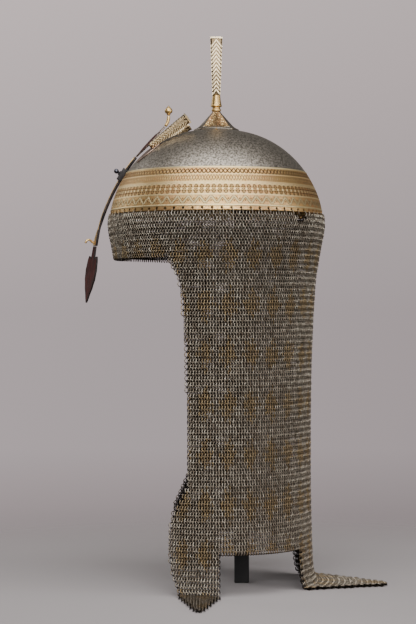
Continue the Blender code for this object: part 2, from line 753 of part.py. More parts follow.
def make_bracket(envelope):
    """Staple over the nasal bar, seated on the bowl, with the screw's boss on top."""
    origin, upward, across, normal = nasal_frame(0.0)
    top = BAR_THICKNESS / 2 + SLOT_CLEARANCE + BRACKET_TOP
    half_width = BAR_WIDTH / 2 + SLOT_CLEARANCE + BRACKET_SIDE
    depth = 2 * (BRACKET_SIDE + BAR_STANDOFF)
    frame = Matrix((upward, across, normal)).transposed().to_4x4()
    frame.translation = origin

    def build(work):
        made = bmesh.ops.create_cube(work, size=1.0)
        for vert in made["verts"]:
            vert.co.x *= BRACKET_LENGTH
            vert.co.y *= 2 * half_width
            vert.co.z = top if vert.co.z > 0 else -depth

    def build_boss(work):
        bmesh.ops.create_cone(
            work, cap_ends=True, segments=ROUND_STEPS, radius1=BOSS_RADIUS, radius2=BOSS_TOP_RADIUS,
            depth=BOSS_HEIGHT + BRACKET_TOP / 2,
            matrix=Matrix.Translation((0, 0, top + (BOSS_HEIGHT - BRACKET_TOP / 2) / 2)),
        )

    def build_slot(work):
        bmesh.ops.create_grid(work, x_segments=SLOT_CELLS, y_segments=1, size=0.5)
        for vert in work.verts:
            distance = vert.co.x * (BRACKET_LENGTH + 2 * SLOT_OVERRUN)
            place, _, side, _ = nasal_frame(distance)
            vert.co = place + side * (BAR_WIDTH + 2 * SLOT_CLEARANCE) * vert.co.y

    def build_screw_hole(work):
        radius = SCREW_RADIUS + SCREW_CLEARANCE
        bmesh.ops.create_cone(
            work, cap_ends=True, segments=ROUND_STEPS, radius1=radius, radius2=radius,
            depth=4 * (BOSS_HEIGHT + BRACKET_TOP),
            matrix=Matrix.Translation((0, 0, top)),
        )

    item = add_part("bracket", mesh_from("bracket", build), "dark_steel")
    item.matrix_world = frame
    boss = add_cutter("bracket_boss", mesh_from("bracket_boss", build_boss))
    boss.matrix_world = frame
    slot = add_cutter("bracket_slot", mesh_from("bracket_slot", build_slot))
    wall = slot.modifiers.new("wall", "SOLIDIFY")
    wall.thickness = 2 * (BAR_THICKNESS / 2 + SLOT_CLEARANCE) + 2 * depth
    wall.offset = -depth / (wall.thickness / 2)
    hole = add_cutter("bracket_screw_hole", mesh_from("bracket_screw_hole", build_screw_hole))
    hole.matrix_world = frame
    cut(item, boss, "UNION")
    cut(item, slot)
    cut(item, hole)
    cut(item, envelope)
    return frame, top


def make_set_screw(frame, top):
    """Ball-headed screw that clamps the bar in its bracket."""
    foot = BAR_THICKNESS / 2 + GAP
    neck = top + BOSS_HEIGHT + SCREW_STAND
    ball = neck + math.sqrt(SCREW_BALL_RADIUS ** 2 - SCREW_RADIUS ** 2)
    profile = [(0.0, ball + SCREW_BALL_RADIUS)]
    start = math.asin(SCREW_RADIUS / SCREW_BALL_RADIUS)
    for index in range(1, BALL_STEPS + 1):
        angle = (math.pi - start) * index / BALL_STEPS
        radius = SCREW_BALL_RADIUS * math.sin(angle)
        profile.append((radius, ball + SCREW_BALL_RADIUS * math.cos(angle)))
    profile += [(SCREW_RADIUS, foot), (0.0, foot)]
    item = add_part("set_screw", turned_mesh("set_screw", profile), "dark_steel")
    screw(item, ROUND_STEPS)
    item.matrix_world = frame
    return item


def mail_place(angle, radius, z):
    """Point of the mail at an angle from the face, round the wearer's left."""
    return Vector((AXIS_X - radius * math.cos(angle), -radius * math.sin(angle), z))


def drape_row(row):
    """Radius, height and face opening's half angle of a row of DRAPE."""
    radius = BOWL_RADIUS * row["radius"]
    z = RIM - GAP - (MAIL_LENGTH - GAP) * row["down"]
    return radius, z, math.acos(row["edge"])


def column_angles(face_angle):
    """Angles of the curtain's columns from one side of the face to the other."""
    back = math.pi - BACK_FLAP_HALF_ANGLE
    marks = [
        (face_angle, FRONT_FLAP_CELLS), (FRONT_FLAP_REAR, SIDE_CELLS),
        (back, BACK_FLAP_CELLS // 2), (math.pi, 0),
    ]
    half = []
    for (low, cells), (high, _) in zip(marks, marks[1:]):
        half += [low + (high - low) * index / cells for index in range(cells)]
    return half + [math.pi] + [2 * math.pi - angle for angle in reversed(half)]


def flaps():
    """First column, last column, outward direction and run of each flap."""
    back = FRONT_FLAP_CELLS + SIDE_CELLS
    last = 2 * back + BACK_FLAP_CELLS
    rear = Vector((math.cos(BACK_FLAP_SKEW), -math.sin(BACK_FLAP_SKEW), 0.0))
    return [
        (0, FRONT_FLAP_CELLS, Vector((0.0, -1.0, 0.0)), FRONT_FLAP_RUN),
        (back, back + BACK_FLAP_CELLS, rear, BACK_FLAP_RUN),
        (last - FRONT_FLAP_CELLS, last, Vector((0.0, 1.0, 0.0)), FRONT_FLAP_RUN),
    ]


def flap_rows(hem):
    """Rows of every flap below the hem: radius, height, edge's angle and share of the run."""
    radius, z, _ = hem
    rows = []
    for row in FLAP_DRAPE:
        flare = radius + BOWL_RADIUS * row["flare"]
        rows.append((flare, z * (1 - row["down"]), math.acos(row["edge"]), 0.0))
    fold = radius + BOWL_RADIUS * FLAP_FOLD_FLARE
    for index in range(FLAP_RUN_CELLS + 1):
        rows.append((fold, MAIL_THICKNESS / 2, math.acos(FLAP_FOLD_EDGE), index / FLAP_RUN_CELLS))
    return rows


def make_mail_curtain():
    """Mail round the sides and back, with its three flaps, as one walled sheet."""
    rows = [drape_row(row) for row in DRAPE]
    below = flap_rows(rows[-1])

    def build(work):
        grid = []
        for radius, z, edge in rows:
            grid.append([work.verts.new(mail_place(angle, radius, z)) for angle in column_angles(edge)])
        for upper, lower in zip(grid, grid[1:]):
            for column in range(len(upper) - 1):
                work.faces.new((upper[column], lower[column], lower[column + 1], upper[column + 1]))
        for first, last, outward, length in flaps():
            upper = grid[-1][first:last + 1]
            for radius, z, edge, run in below:
                angles = column_angles(edge)[first:last + 1]
                base = [mail_place(angle, radius, z) for angle in angles]
                foot = (base[0] + base[-1]) / 2
                reach = max((place - foot).dot(outward) for place in base) + length
                tip = foot + outward * reach
                narrow = run * (1 - FLAP_TIP_SHARE)
                places = [place.lerp(tip, narrow) for place in base]
                lower = [work.verts.new(place) for place in places]
                for column in range(len(upper) - 1):
                    work.faces.new((upper[column], lower[column], lower[column + 1], upper[column + 1]))
                upper = lower

    item = add_part("mail_curtain", mesh_from("mail_curtain", build), "mail")
    wall = item.modifiers.new("wall", "SOLIDIFY")
    wall.thickness = MAIL_THICKNESS
    wall.offset = 0.0
    return item


def make_mail_fringe():
    """Short mail over the forehead, between the two sides of the curtain."""
    rows = [drape_row(row) for row in DRAPE if MAIL_LENGTH * row["down"] < FRINGE_LENGTH + GAP]
    edge = FACE_HALF_ANGLE - GAP / BOWL_RADIUS

    def build(work):
        grid = []
        for radius, z, _ in rows:
            angles = [-edge + 2 * edge * index / FRINGE_CELLS for index in range(FRINGE_CELLS + 1)]
            grid.append([work.verts.new(mail_place(angle, radius, z)) for angle in angles])
        for upper, lower in zip(grid, grid[1:]):
            for column in range(FRINGE_CELLS):
                work.faces.new((upper[column], lower[column], lower[column + 1], upper[column + 1]))

    item = add_part("mail_fringe", mesh_from("mail_fringe", build), "mail")
    wall = item.modifiers.new("wall", "SOLIDIFY")
    wall.thickness = MAIL_THICKNESS
    wall.offset = 0.0
    return item


def make_stand():
    """Square post, and the pad on its top that fills the bowl's crown."""
    crown = inner_outline(-BOWL_WALL - GAP)
    bottom = APEX - BOWL_WALL - GAP - PAD_THICKNESS
    hollow = list(reversed(crown)) + [(0.0, RIM)]
    inside = add_cutter("bowl_inside", turned_mesh("bowl_inside", hollow))
    inside.location = (AXIS_X, 0.0, 0.0)
    screw(inside, BOWL_STEPS)
    profile = [(0.0, APEX), (PAD_RADIUS, APEX), (PAD_RADIUS, bottom), (0.0, bottom)]
    pad = add_part("post_pad", turned_mesh("post_pad", profile), "black_post")
    pad.location = (AXIS_X, 0.0, 0.0)
    screw(pad, BOWL_STEPS // 2)
    cut(pad, inside, "INTERSECT")

    height = bottom - GAP

    def build(work):
        made = bmesh.ops.create_cube(work, size=1.0)
        for vert in made["verts"]:
            vert.co.x *= POST_WIDTH
            vert.co.y *= POST_WIDTH
            vert.co.z = height if vert.co.z > 0 else 0.0

    add_part("display_post", mesh_from("display_post", build), "black_post")


def main():
    """Build every piece of the helmet and its stand."""
    clear_scene()
    envelope = bowl_envelope("bowl_envelope")
    make_bowl()
    neck = make_finial_base(envelope)
    collar_top = make_finial_collar(neck + GAP)
    place = Matrix.Translation((AXIS_X, 0.0, collar_top + GAP))
    flat_sided_tube(
        "finial_tube", TUBE_FOOT_HALF, TUBE_MOUTH_HALF, TUBE_LENGTH, TUBE_WALL, TUBE_FLOOR, place,
    )
    for label, side in (("left", -1), ("right", 1)):
        make_socket_plate("socket_plate_" + label, side)
        make_socket_tube("socket_tube_" + label, side)

    pivot = bpy.data.objects.new("nasal_pivot", None)
    collection("kulah_khud").objects.link(pivot)
    pivot.location = nasal_centre()
    bpy.context.view_layer.update()
    make_nasal_bar(pivot)
    stem_foot = make_leaves(pivot)
    make_bud(pivot, stem_foot)
    make_hook(pivot)
    frame, top = make_bracket(envelope)
    make_set_screw(frame, top)

    make_mail_curtain()
    make_mail_fringe()
    make_stand()


main()
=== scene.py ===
"""Looks of a kulah khud helmet with its mail, standing on its display post.

Metres, +Z up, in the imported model's frame: the face looks along -X and the wearer's
left is -Y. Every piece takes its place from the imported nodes, and the mail's rings
follow the same drape as the sheet that they stand for.
"""

import logging
import math
from contextlib import contextmanager
from dataclasses import dataclass
from enum import Enum
from typing import Callable, Iterator, NamedTuple

import bmesh
import bpy
import numpy as np
from mathutils import Matrix, Vector


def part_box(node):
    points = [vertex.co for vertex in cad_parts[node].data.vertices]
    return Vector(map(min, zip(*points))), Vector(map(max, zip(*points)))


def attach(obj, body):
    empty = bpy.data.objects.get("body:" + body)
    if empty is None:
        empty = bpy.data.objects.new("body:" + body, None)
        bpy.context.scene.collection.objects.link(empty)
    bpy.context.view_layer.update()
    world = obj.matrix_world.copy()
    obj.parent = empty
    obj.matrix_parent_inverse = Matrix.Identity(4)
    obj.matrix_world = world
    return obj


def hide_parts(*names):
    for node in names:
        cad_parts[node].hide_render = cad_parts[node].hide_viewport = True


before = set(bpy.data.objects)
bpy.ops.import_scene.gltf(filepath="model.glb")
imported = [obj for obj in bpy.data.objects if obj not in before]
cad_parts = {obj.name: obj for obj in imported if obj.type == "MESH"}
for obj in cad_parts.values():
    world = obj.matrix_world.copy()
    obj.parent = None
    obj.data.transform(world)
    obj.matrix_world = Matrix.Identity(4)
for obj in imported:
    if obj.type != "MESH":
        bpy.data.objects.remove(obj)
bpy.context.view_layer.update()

LOG = logging.getLogger("kulah_khud")
MERGE = 0.000002                # vertices nearer than this are one
SMOOTH_ANGLE = math.radians(32.0)
UP = Vector((0.0, 0.0, 1.0))

Color = tuple[float, float, float]
Point = tuple[float, float, float]
Socket = bpy.types.NodeSocket


class Slot(Enum):
    """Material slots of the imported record."""

    WATERED_STEEL = "watered_steel"
    GILT = "gilt"
    SILVER_GILT = "silver_gilt"
    RUSSET_STEEL = "russet_steel"
    DARK_STEEL = "dark_steel"
    MAIL = "mail"
    BLACK_POST = "black_post"


class Body(Enum):
    """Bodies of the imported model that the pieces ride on."""

    HELMET = "helmet"
    NASAL = "nasal"
    SCREW = "screw"


# Mesh helpers


def choose_nothing() -> None:
    """Deselect everything, before a primitive is added."""
    bpy.ops.object.select_all(action="DESELECT")


def choose(piece: bpy.types.Object) -> None:
    """Make one object the only selected one, and the active one.

    Args:
        piece: the object.
    """
    choose_nothing()
    piece.select_set(True)
    bpy.context.view_layer.objects.active = piece


@contextmanager
def editing(piece: bpy.types.Object, mode: str = "FACE") -> Iterator[None]:
    """Work on one object in edit mode.

    Args:
        piece: the mesh object to edit.
        mode: what is selected there: VERT, EDGE or FACE.
    """
    choose(piece)
    bpy.ops.object.mode_set(mode="EDIT")
    bpy.ops.mesh.select_mode(type=mode)
    yield
    bpy.ops.object.mode_set(mode="OBJECT")


def select_faces(piece: bpy.types.Object, wanted: Callable[[bmesh.types.BMFace], bool]) -> None:
    """Select, in edit mode, only the faces that pass a test.

    Args:
        piece: the object that is being edited.
        wanted: says of a face whether it is selected.
    """
    bpy.ops.mesh.select_all(action="DESELECT")
    work = bmesh.from_edit_mesh(piece.data)
    for face in work.faces:
        face.select_set(wanted(face))
    bmesh.update_edit_mesh(piece.data)


def apply_modifier(piece: bpy.types.Object, kind: str, **settings: object) -> None:
    """Put a modifier on an object and apply it.

    Args:
        piece: the mesh object.
        kind: the modifier's type.
        settings: values of the modifier's properties.
    """
    modifier = piece.modifiers.new(kind.lower(), kind)
    for key, value in settings.items():
        setattr(modifier, key, value)
    choose(piece)
    bpy.ops.object.modifier_apply(modifier=modifier.name)


def shade(piece: bpy.types.Object, angle: float = SMOOTH_ANGLE) -> None:
    """Shade an object smooth, with sharp edges over an angle."""
    choose(piece)
    bpy.ops.object.shade_smooth_by_angle(angle=angle)


def turned(name: str, outline: list[tuple[float, float]], axis: Vector, steps: int) -> bpy.types.Object:
    """Turn an outline about a vertical axis, as on a lathe.

    Args:
        name: name of the new object.
        outline: (radius, height) points from one end to the other.
        axis: a point of the vertical axis, from which heights count.
        steps: number of facets round the axis.

    Returns:
        The turned mesh object, closed at its poles, with its faces pointing out.
    """
    choose_nothing()
    bpy.ops.mesh.primitive_plane_add(size=0.01, location=axis)
    piece = bpy.context.active_object
    piece.name = name
    piece.data.name = name
    choose(piece)
    bpy.ops.object.transform_apply(location=True, rotation=True, scale=True)
    with editing(piece, "VERT"):
        bpy.ops.mesh.select_all(action="SELECT")
        bpy.ops.mesh.merge(type="CENTER")
        radius, height = outline[0]
        bpy.ops.transform.translate(value=(radius, 0.0, height))
        for (old_radius, old_height), (radius, height) in zip(outline, outline[1:]):
            step = (radius - old_radius, 0.0, height - old_height)
            bpy.ops.mesh.extrude_region_move(TRANSFORM_OT_translate={"value": step})
        bpy.ops.mesh.select_all(action="SELECT")
        bpy.ops.mesh.spin(steps=steps, angle=math.tau, center=axis, axis=(0.0, 0.0, 1.0))
        bpy.ops.mesh.select_all(action="SELECT")
        bpy.ops.mesh.remove_doubles(threshold=MERGE)
        bpy.ops.mesh.normals_make_consistent(inside=False)
    return piece


def refined(node: str, name: str, flat: float = math.radians(1.0)) -> bpy.types.Object:
    """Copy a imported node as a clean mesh, to be finished further.

    Args:
        node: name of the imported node.
        name: name of the new object.
        flat: facets within this angle become one face.

    Returns:
        The copy, with its doubles merged and its flat facets joined.
    """
    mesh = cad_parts[node].data.copy()
    mesh.name = name
    mesh.materials.clear()
    piece = bpy.data.objects.new(name, mesh)
    bpy.context.scene.collection.objects.link(piece)
    with editing(piece):
        bpy.ops.mesh.select_all(action="SELECT")
        bpy.ops.mesh.remove_doubles(threshold=MERGE)
        bpy.ops.mesh.dissolve_limited(angle_limit=flat)
    return piece


def squared(node: str, name: str) -> bpy.types.Object:
    """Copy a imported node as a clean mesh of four-sided faces.

    Args:
        node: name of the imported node.
        name: name of the new object.

    Returns:
        The copy.
    """
    piece = refined(node, name, flat=0.0)
    with editing(piece):
        bpy.ops.mesh.select_all(action="SELECT")
        bpy.ops.mesh.tris_convert_to_quads()
    return piece


def bevelled(piece: bpy.types.Object, width: float, segments: int = 2) -> bpy.types.Object:
    """Round an object's sharp edges.

    Args:
        piece: the mesh object.
        width: width of the bevel.
        segments: facets across it.

    Returns:
        The same object.
    """
    apply_modifier(
        piece, "BEVEL", width=width, segments=segments, limit_method="ANGLE",
        angle_limit=math.radians(35.0), harden_normals=False,
    )
    shade(piece)
    return piece


def joined_copies(
    name: str, model: bpy.types.Mesh, places: np.ndarray, tones: np.ndarray | None = None,
) -> bpy.types.Object:
    """Join many copies of one modelled shape into a single mesh.

    Args:
        name: name of the new object.
        model: the mesh that is copied.
        places: one 4 x 4 matrix for each copy.
        tones: three shares for each copy, and the side of its own X axis that keeps its
        colour while the other side takes painted shade, -1 or 1, kept as the attribute "tone".

    Returns:
        The joined object.
    """
    count, vertex_count = len(places), len(model.vertices)
    points = np.empty(vertex_count * 3)
    model.vertices.foreach_get("co", points)
    points = points.reshape(-1, 3)
    placed = np.einsum("nij,vj->nvi", places[:, :3, :3], points) + places[:, None, :3, 3]
    corners = np.empty(len(model.loops), dtype=np.int32)
    model.loops.foreach_get("vertex_index", corners)
    starts = np.empty(len(model.polygons), dtype=np.int32)
    model.polygons.foreach_get("loop_start", starts)

    mesh = bpy.data.meshes.new(name)
    mesh.vertices.add(count * vertex_count)
    mesh.vertices.foreach_set("co", placed.ravel())
    mesh.loops.add(count * len(corners))
    shift = np.arange(count, dtype=np.int32)[:, None]
    mesh.loops.foreach_set("vertex_index", (corners[None] + shift * vertex_count).ravel())
    mesh.polygons.add(count * len(starts))
    mesh.polygons.foreach_set("loop_start", (starts[None] + shift * len(corners)).ravel())
    mesh.update(calc_edges=True)
    mesh.shade_smooth()
    if tones is not None:
        colors = np.empty((count, vertex_count, 4), dtype=np.float32)
        colors[:, :, :3] = tones[:, None, :3]
        aside = points[:, 0] / np.abs(points[:, 0]).max()
        # alpha marks the half of each copy that keeps its colour; the mail's shader paints shade on the
        # other half
        colors[:, :, 3] = 0.5 + 0.5 * tones[:, 3:] * aside[None]
        layer = mesh.attributes.new("tone", "FLOAT_COLOR", "POINT")
        layer.data.foreach_set("color", colors.ravel())
    piece = bpy.data.objects.new(name, mesh)
    bpy.context.scene.collection.objects.link(piece)
    return piece


def unit_bar(bevel: float) -> bpy.types.Mesh:
    """Model a bar of unit size with rounded edges, to be copied at other sizes.

    Args:
        bevel: width of the rounding as a share of the bar.

    Returns:
        The bar's mesh.
    """
    choose_nothing()
    bpy.ops.mesh.primitive_cube_add(size=1.0)
    piece = bpy.context.active_object
    with editing(piece, "FACE"):
        select_faces(piece, lambda face: face.normal.z < -0.5)
        bpy.ops.mesh.delete(type="FACE")
        select_faces(piece, lambda face: face.normal.z > 0.5)
        bpy.ops.mesh.bevel(offset=bevel, segments=1, affect="EDGES")
    mesh = piece.data
    bpy.data.objects.remove(piece)
    return mesh


def frame_matrix(across: Vector, along: Vector, out: Vector, place: Vector) -> np.ndarray:
    """Matrix whose columns are three directions and a place.

    Args:
        across: where the model's X axis goes.
        along: where its Y axis goes.
        out: where its Z axis goes.
        place: where its origin goes.

    Returns:
        The 4 x 4 matrix.
    """
    made = np.eye(4)
    for column, vector in enumerate((across, along, out, place)):
        made[:3, column] = vector
    return made


def dress(
    piece: bpy.types.Object, finish: bpy.types.Material, slot: Slot, body: Body, *nodes: str,
) -> bpy.types.Object:
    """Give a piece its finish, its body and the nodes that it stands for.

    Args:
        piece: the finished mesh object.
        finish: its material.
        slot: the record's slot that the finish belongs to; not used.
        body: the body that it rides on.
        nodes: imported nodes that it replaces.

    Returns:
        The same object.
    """
    piece.data.materials.clear()
    piece.data.materials.append(finish)
    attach(piece, body.value)
    if nodes:
        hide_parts(*nodes)
    piece.data.calc_loop_triangles()
    LOG.info("%s: %d triangles", piece.name, len(piece.data.loop_triangles))
    return piece


# Shader helpers


class Graph:
    """A node tree that is being filled."""

    def __init__(self, tree: bpy.types.NodeTree) -> None:
        """Start on an existing tree."""
        self.tree = tree

    def node(self, kind: str, **settings: object) -> bpy.types.Node:
        """Add a node.

        Args:
            kind: its type.
            settings: values of its properties.

        Returns:
            The node.
        """
        made = self.tree.nodes.new(kind)
        for key, value in settings.items():
            setattr(made, key, value)
        return made

    def feed(self, socket: Socket, value: object) -> None:
        """Link a socket to an output, or set its own value.

        Args:
            socket: the input.
            value: an output, a number or a colour.
        """
        if isinstance(value, Socket):
            self.tree.links.new(value, socket)
        elif isinstance(value, tuple) and len(value) == 3 and len(socket.default_value) == 4:
            socket.default_value = (*value, 1.0)
        else:
            socket.default_value = value

    def math(self, operation: str, *values: object, clamp: bool = False) -> Socket:
        """Work out a value from one, two or three others.

        Args:
            operation: what is done with them.
            values: numbers or outputs, in their order.
            clamp: whether the result is held between 0 and 1.

        Returns:
            The result's output.
        """
        made = self.node("ShaderNodeMath", operation=operation, use_clamp=clamp)
        for socket, value in zip(made.inputs, values):
            self.feed(socket, value)
        return made.outputs[0]

    def mix(self, share: object, low: object, high: object) -> Socket:
        """Mix two colours.

        Args:
            share: share of the second one.
            low: the first colour.
            high: the second colour.

        Returns:
            The mixed colour's output.
        """
        made = self.node("ShaderNodeMix", data_type="RGBA")
        self.feed(made.inputs[0], share)
        self.feed(made.inputs[6], low)
        self.feed(made.inputs[7], high)
        return made.outputs[2]

    def rise(
        self, value: object, low: float, high: float, to_low: float = 0.0, to_high: float = 1.0,
    ) -> Socket:
        """Map a value smoothly from one range to another, held at both ends.

        Args:
            value: the value.
            low: start of its range.
            high: end of its range.
            to_low: result at the start.
            to_high: result at the end.

        Returns:
            The result's output.
        """
        made = self.node("ShaderNodeMapRange", interpolation_type="SMOOTHSTEP")
        for socket, number in zip(made.inputs, (value, low, high, to_low, to_high)):
            self.feed(socket, number)
        return made.outputs[0]

    def noise(self, place: object, scale: float, detail: float = 3.0, rough: float = 0.55) -> Socket:
        """Add a noise texture.

        Args:
            place: the places that it is read at.
            scale: its fineness.
            detail: how many finer layers it has.
            rough: share of each finer layer.

        Returns:
            The output of its value.
        """
        made = self.node("ShaderNodeTexNoise")
        self.feed(made.inputs["Vector"], place)
        made.inputs["Scale"].default_value = scale
        made.inputs["Detail"].default_value = detail
        made.inputs["Roughness"].default_value = rough
        return made.outputs["Fac"]

    def group(self, tree: bpy.types.NodeTree, **values: object) -> bpy.types.Node:
        """Place a shared group.

        Args:
            tree: the group.
            values: what its inputs get, with spaces in their names as underscores.

        Returns:
            The group's node.
        """
        made = self.node("ShaderNodeGroup", node_tree=tree)
        for name, value in values.items():
            self.feed(made.inputs[name.replace("_", " ")], value)
        return made

    def near(self, value: object, middle: float, half: float) -> Socket:
        """Mask that is 1 at a middle value and fades out at half a width from it."""
        gap = self.math("ABSOLUTE", self.math("SUBTRACT", value, middle))
        return self.rise(gap, half * 0.6, half * 1.3, 1.0, 0.0)

    def within(self, value: object, low: float, high: float) -> Socket:
        """Mask that is 1 between two values."""
        return self.near(value, (low + high) / 2, (high - low) / 2)

    def all_of(self, *masks: object) -> Socket:
        """Product of masks.

        Args:
            masks: numbers or outputs.

        Returns:
            The product's output.
        """
        made = masks[0]
        for mask in masks[1:]:
            made = self.math("MULTIPLY", made, mask)
        return made

    def any_of(self, *masks: object) -> Socket:
        """Greatest of masks.

        Args:
            masks: numbers or outputs.

        Returns:
            The greatest one's output.
        """
        made = masks[0]
        for mask in masks[1:]:
            made = self.math("MAXIMUM", made, mask)
        return made


def new_group(
    name: str, inputs: dict[str, str], outputs: dict[str, str],
) -> tuple[bpy.types.NodeTree, Graph, bpy.types.Node, bpy.types.Node]:
    """Start a shared shader group.

    Args:
        name: the group's name.
        inputs: socket types by name.
        outputs: socket types by name.

    Returns:
        The tree, a graph on it, its input node and its output node.
    """
    tree = bpy.data.node_groups.new(name, "ShaderNodeTree")
    for socket, kind in inputs.items():
        tree.interface.new_socket(socket, in_out="INPUT", socket_type=kind)
    for socket, kind in outputs.items():
        tree.interface.new_socket(socket, in_out="OUTPUT", socket_type=kind)
    graph = Graph(tree)
    return tree, graph, graph.node("NodeGroupInput"), graph.node("NodeGroupOutput")


FLOAT = "NodeSocketFloat"
VECTOR = "NodeSocketVector"


def grain_group() -> bpy.types.NodeTree:
    """Fine grain of worked metal, as a mask of its bright specks and a height.

    Returns:
        The group.
    """
    tree, graph, given, result = new_group(
        "metal grain", {"Place": VECTOR, "Fineness": FLOAT, "Sharpness": FLOAT},
        {"Specks": FLOAT, "Height": FLOAT},
    )
    fine = graph.node("ShaderNodeTexNoise")
    graph.feed(fine.inputs["Vector"], given.outputs["Place"])
    graph.feed(fine.inputs["Scale"], given.outputs["Fineness"])
    fine.inputs["Detail"].default_value = 5.0
    fine.inputs["Roughness"].default_value = 0.62
    centred = graph.math("SUBTRACT", fine.outputs["Fac"], 0.5)
    specks = graph.math("MULTIPLY_ADD", centred, given.outputs["Sharpness"], 0.5, clamp=True)
    graph.feed(result.inputs["Specks"], specks)
    graph.feed(result.inputs["Height"], fine.outputs["Fac"])
    return tree


def wear_group() -> bpy.types.NodeTree:
    """Rubbed and stained patches, from broad clouds, and small pits.

    Returns:
        The group.
    """
    tree, graph, given, result = new_group(
        "rubbed wear", {"Place": VECTOR, "Patch Scale": FLOAT, "Pit Scale": FLOAT},
        {"Patches": FLOAT, "Pits": FLOAT},
    )
    broad = graph.node("ShaderNodeTexNoise")
    graph.feed(broad.inputs["Vector"], given.outputs["Place"])
    graph.feed(broad.inputs["Scale"], given.outputs["Patch Scale"])
    broad.inputs["Detail"].default_value = 4.0
    pits = graph.node("ShaderNodeTexVoronoi")
    graph.feed(pits.inputs["Vector"], given.outputs["Place"])
    graph.feed(pits.inputs["Scale"], given.outputs["Pit Scale"])
    graph.feed(result.inputs["Patches"], graph.rise(broad.outputs["Fac"], 0.38, 0.66))
    graph.feed(result.inputs["Pits"], graph.rise(pits.outputs["Distance"], 0.12, 0.3, 1.0, 0.0))
    return tree


def round_group(axis_x: float) -> bpy.types.NodeTree:
    """Places round the bowl's axis: turns about it, distance from it and height.

    Args:
        axis_x: where the axis stands.

    Returns:
        The group.
    """
    tree, graph, given, result = new_group(
        "round the bowl", {"Place": VECTOR}, {"Turns": FLOAT, "Radius": FLOAT, "Height": FLOAT},
    )
    parts = graph.node("ShaderNodeSeparateXYZ")
    graph.feed(parts.inputs[0], given.outputs["Place"])
    x = graph.math("SUBTRACT", parts.outputs[0], axis_x)
    y = parts.outputs[1]
    graph.feed(result.inputs["Turns"], graph.math("DIVIDE", graph.math("ARCTAN2", y, x), math.tau))
    square = graph.math("ADD", graph.math("MULTIPLY", x, x), graph.math("MULTIPLY", y, y))
    graph.feed(result.inputs["Radius"], graph.math("SQRT", square))
    graph.feed(result.inputs["Height"], parts.outputs[2])
    return tree


@dataclass(frozen=True)
class SharedEffects:
    """Shader groups that several finishes use."""

    grain: bpy.types.NodeTree
    wear: bpy.types.NodeTree
    round_bowl: bpy.types.NodeTree


def new_finish(name: str) -> tuple[bpy.types.Material, Graph, bpy.types.Node, Socket]:
    """Start a material.

    Args:
        name: the finish's name.

    Returns:
        The material, a graph on its tree, its Principled shader and the object's places.
    """
    material = bpy.data.materials.new(name)
    material.use_nodes = True
    graph = Graph(material.node_tree)
    shader = material.node_tree.nodes["Principled BSDF"]
    place = graph.node("ShaderNodeTexCoord").outputs["Object"]
    return material, graph, shader, place


def relief(graph: Graph, shader: bpy.types.Node, height: object, distance: float, strength: float) -> None:
    """Feed a height to the shader's normal.

    Args:
        graph: the material's graph.
        shader: its Principled shader.
        height: the height's output.
        distance: depth in metres that a height of 1 stands for.
        strength: share of the effect.
    """
    bump = graph.node("ShaderNodeBump")
    bump.inputs["Distance"].default_value = distance
    bump.inputs["Strength"].default_value = strength
    graph.feed(bump.inputs["Height"], height)
    graph.feed(shader.inputs["Normal"], bump.outputs["Normal"])


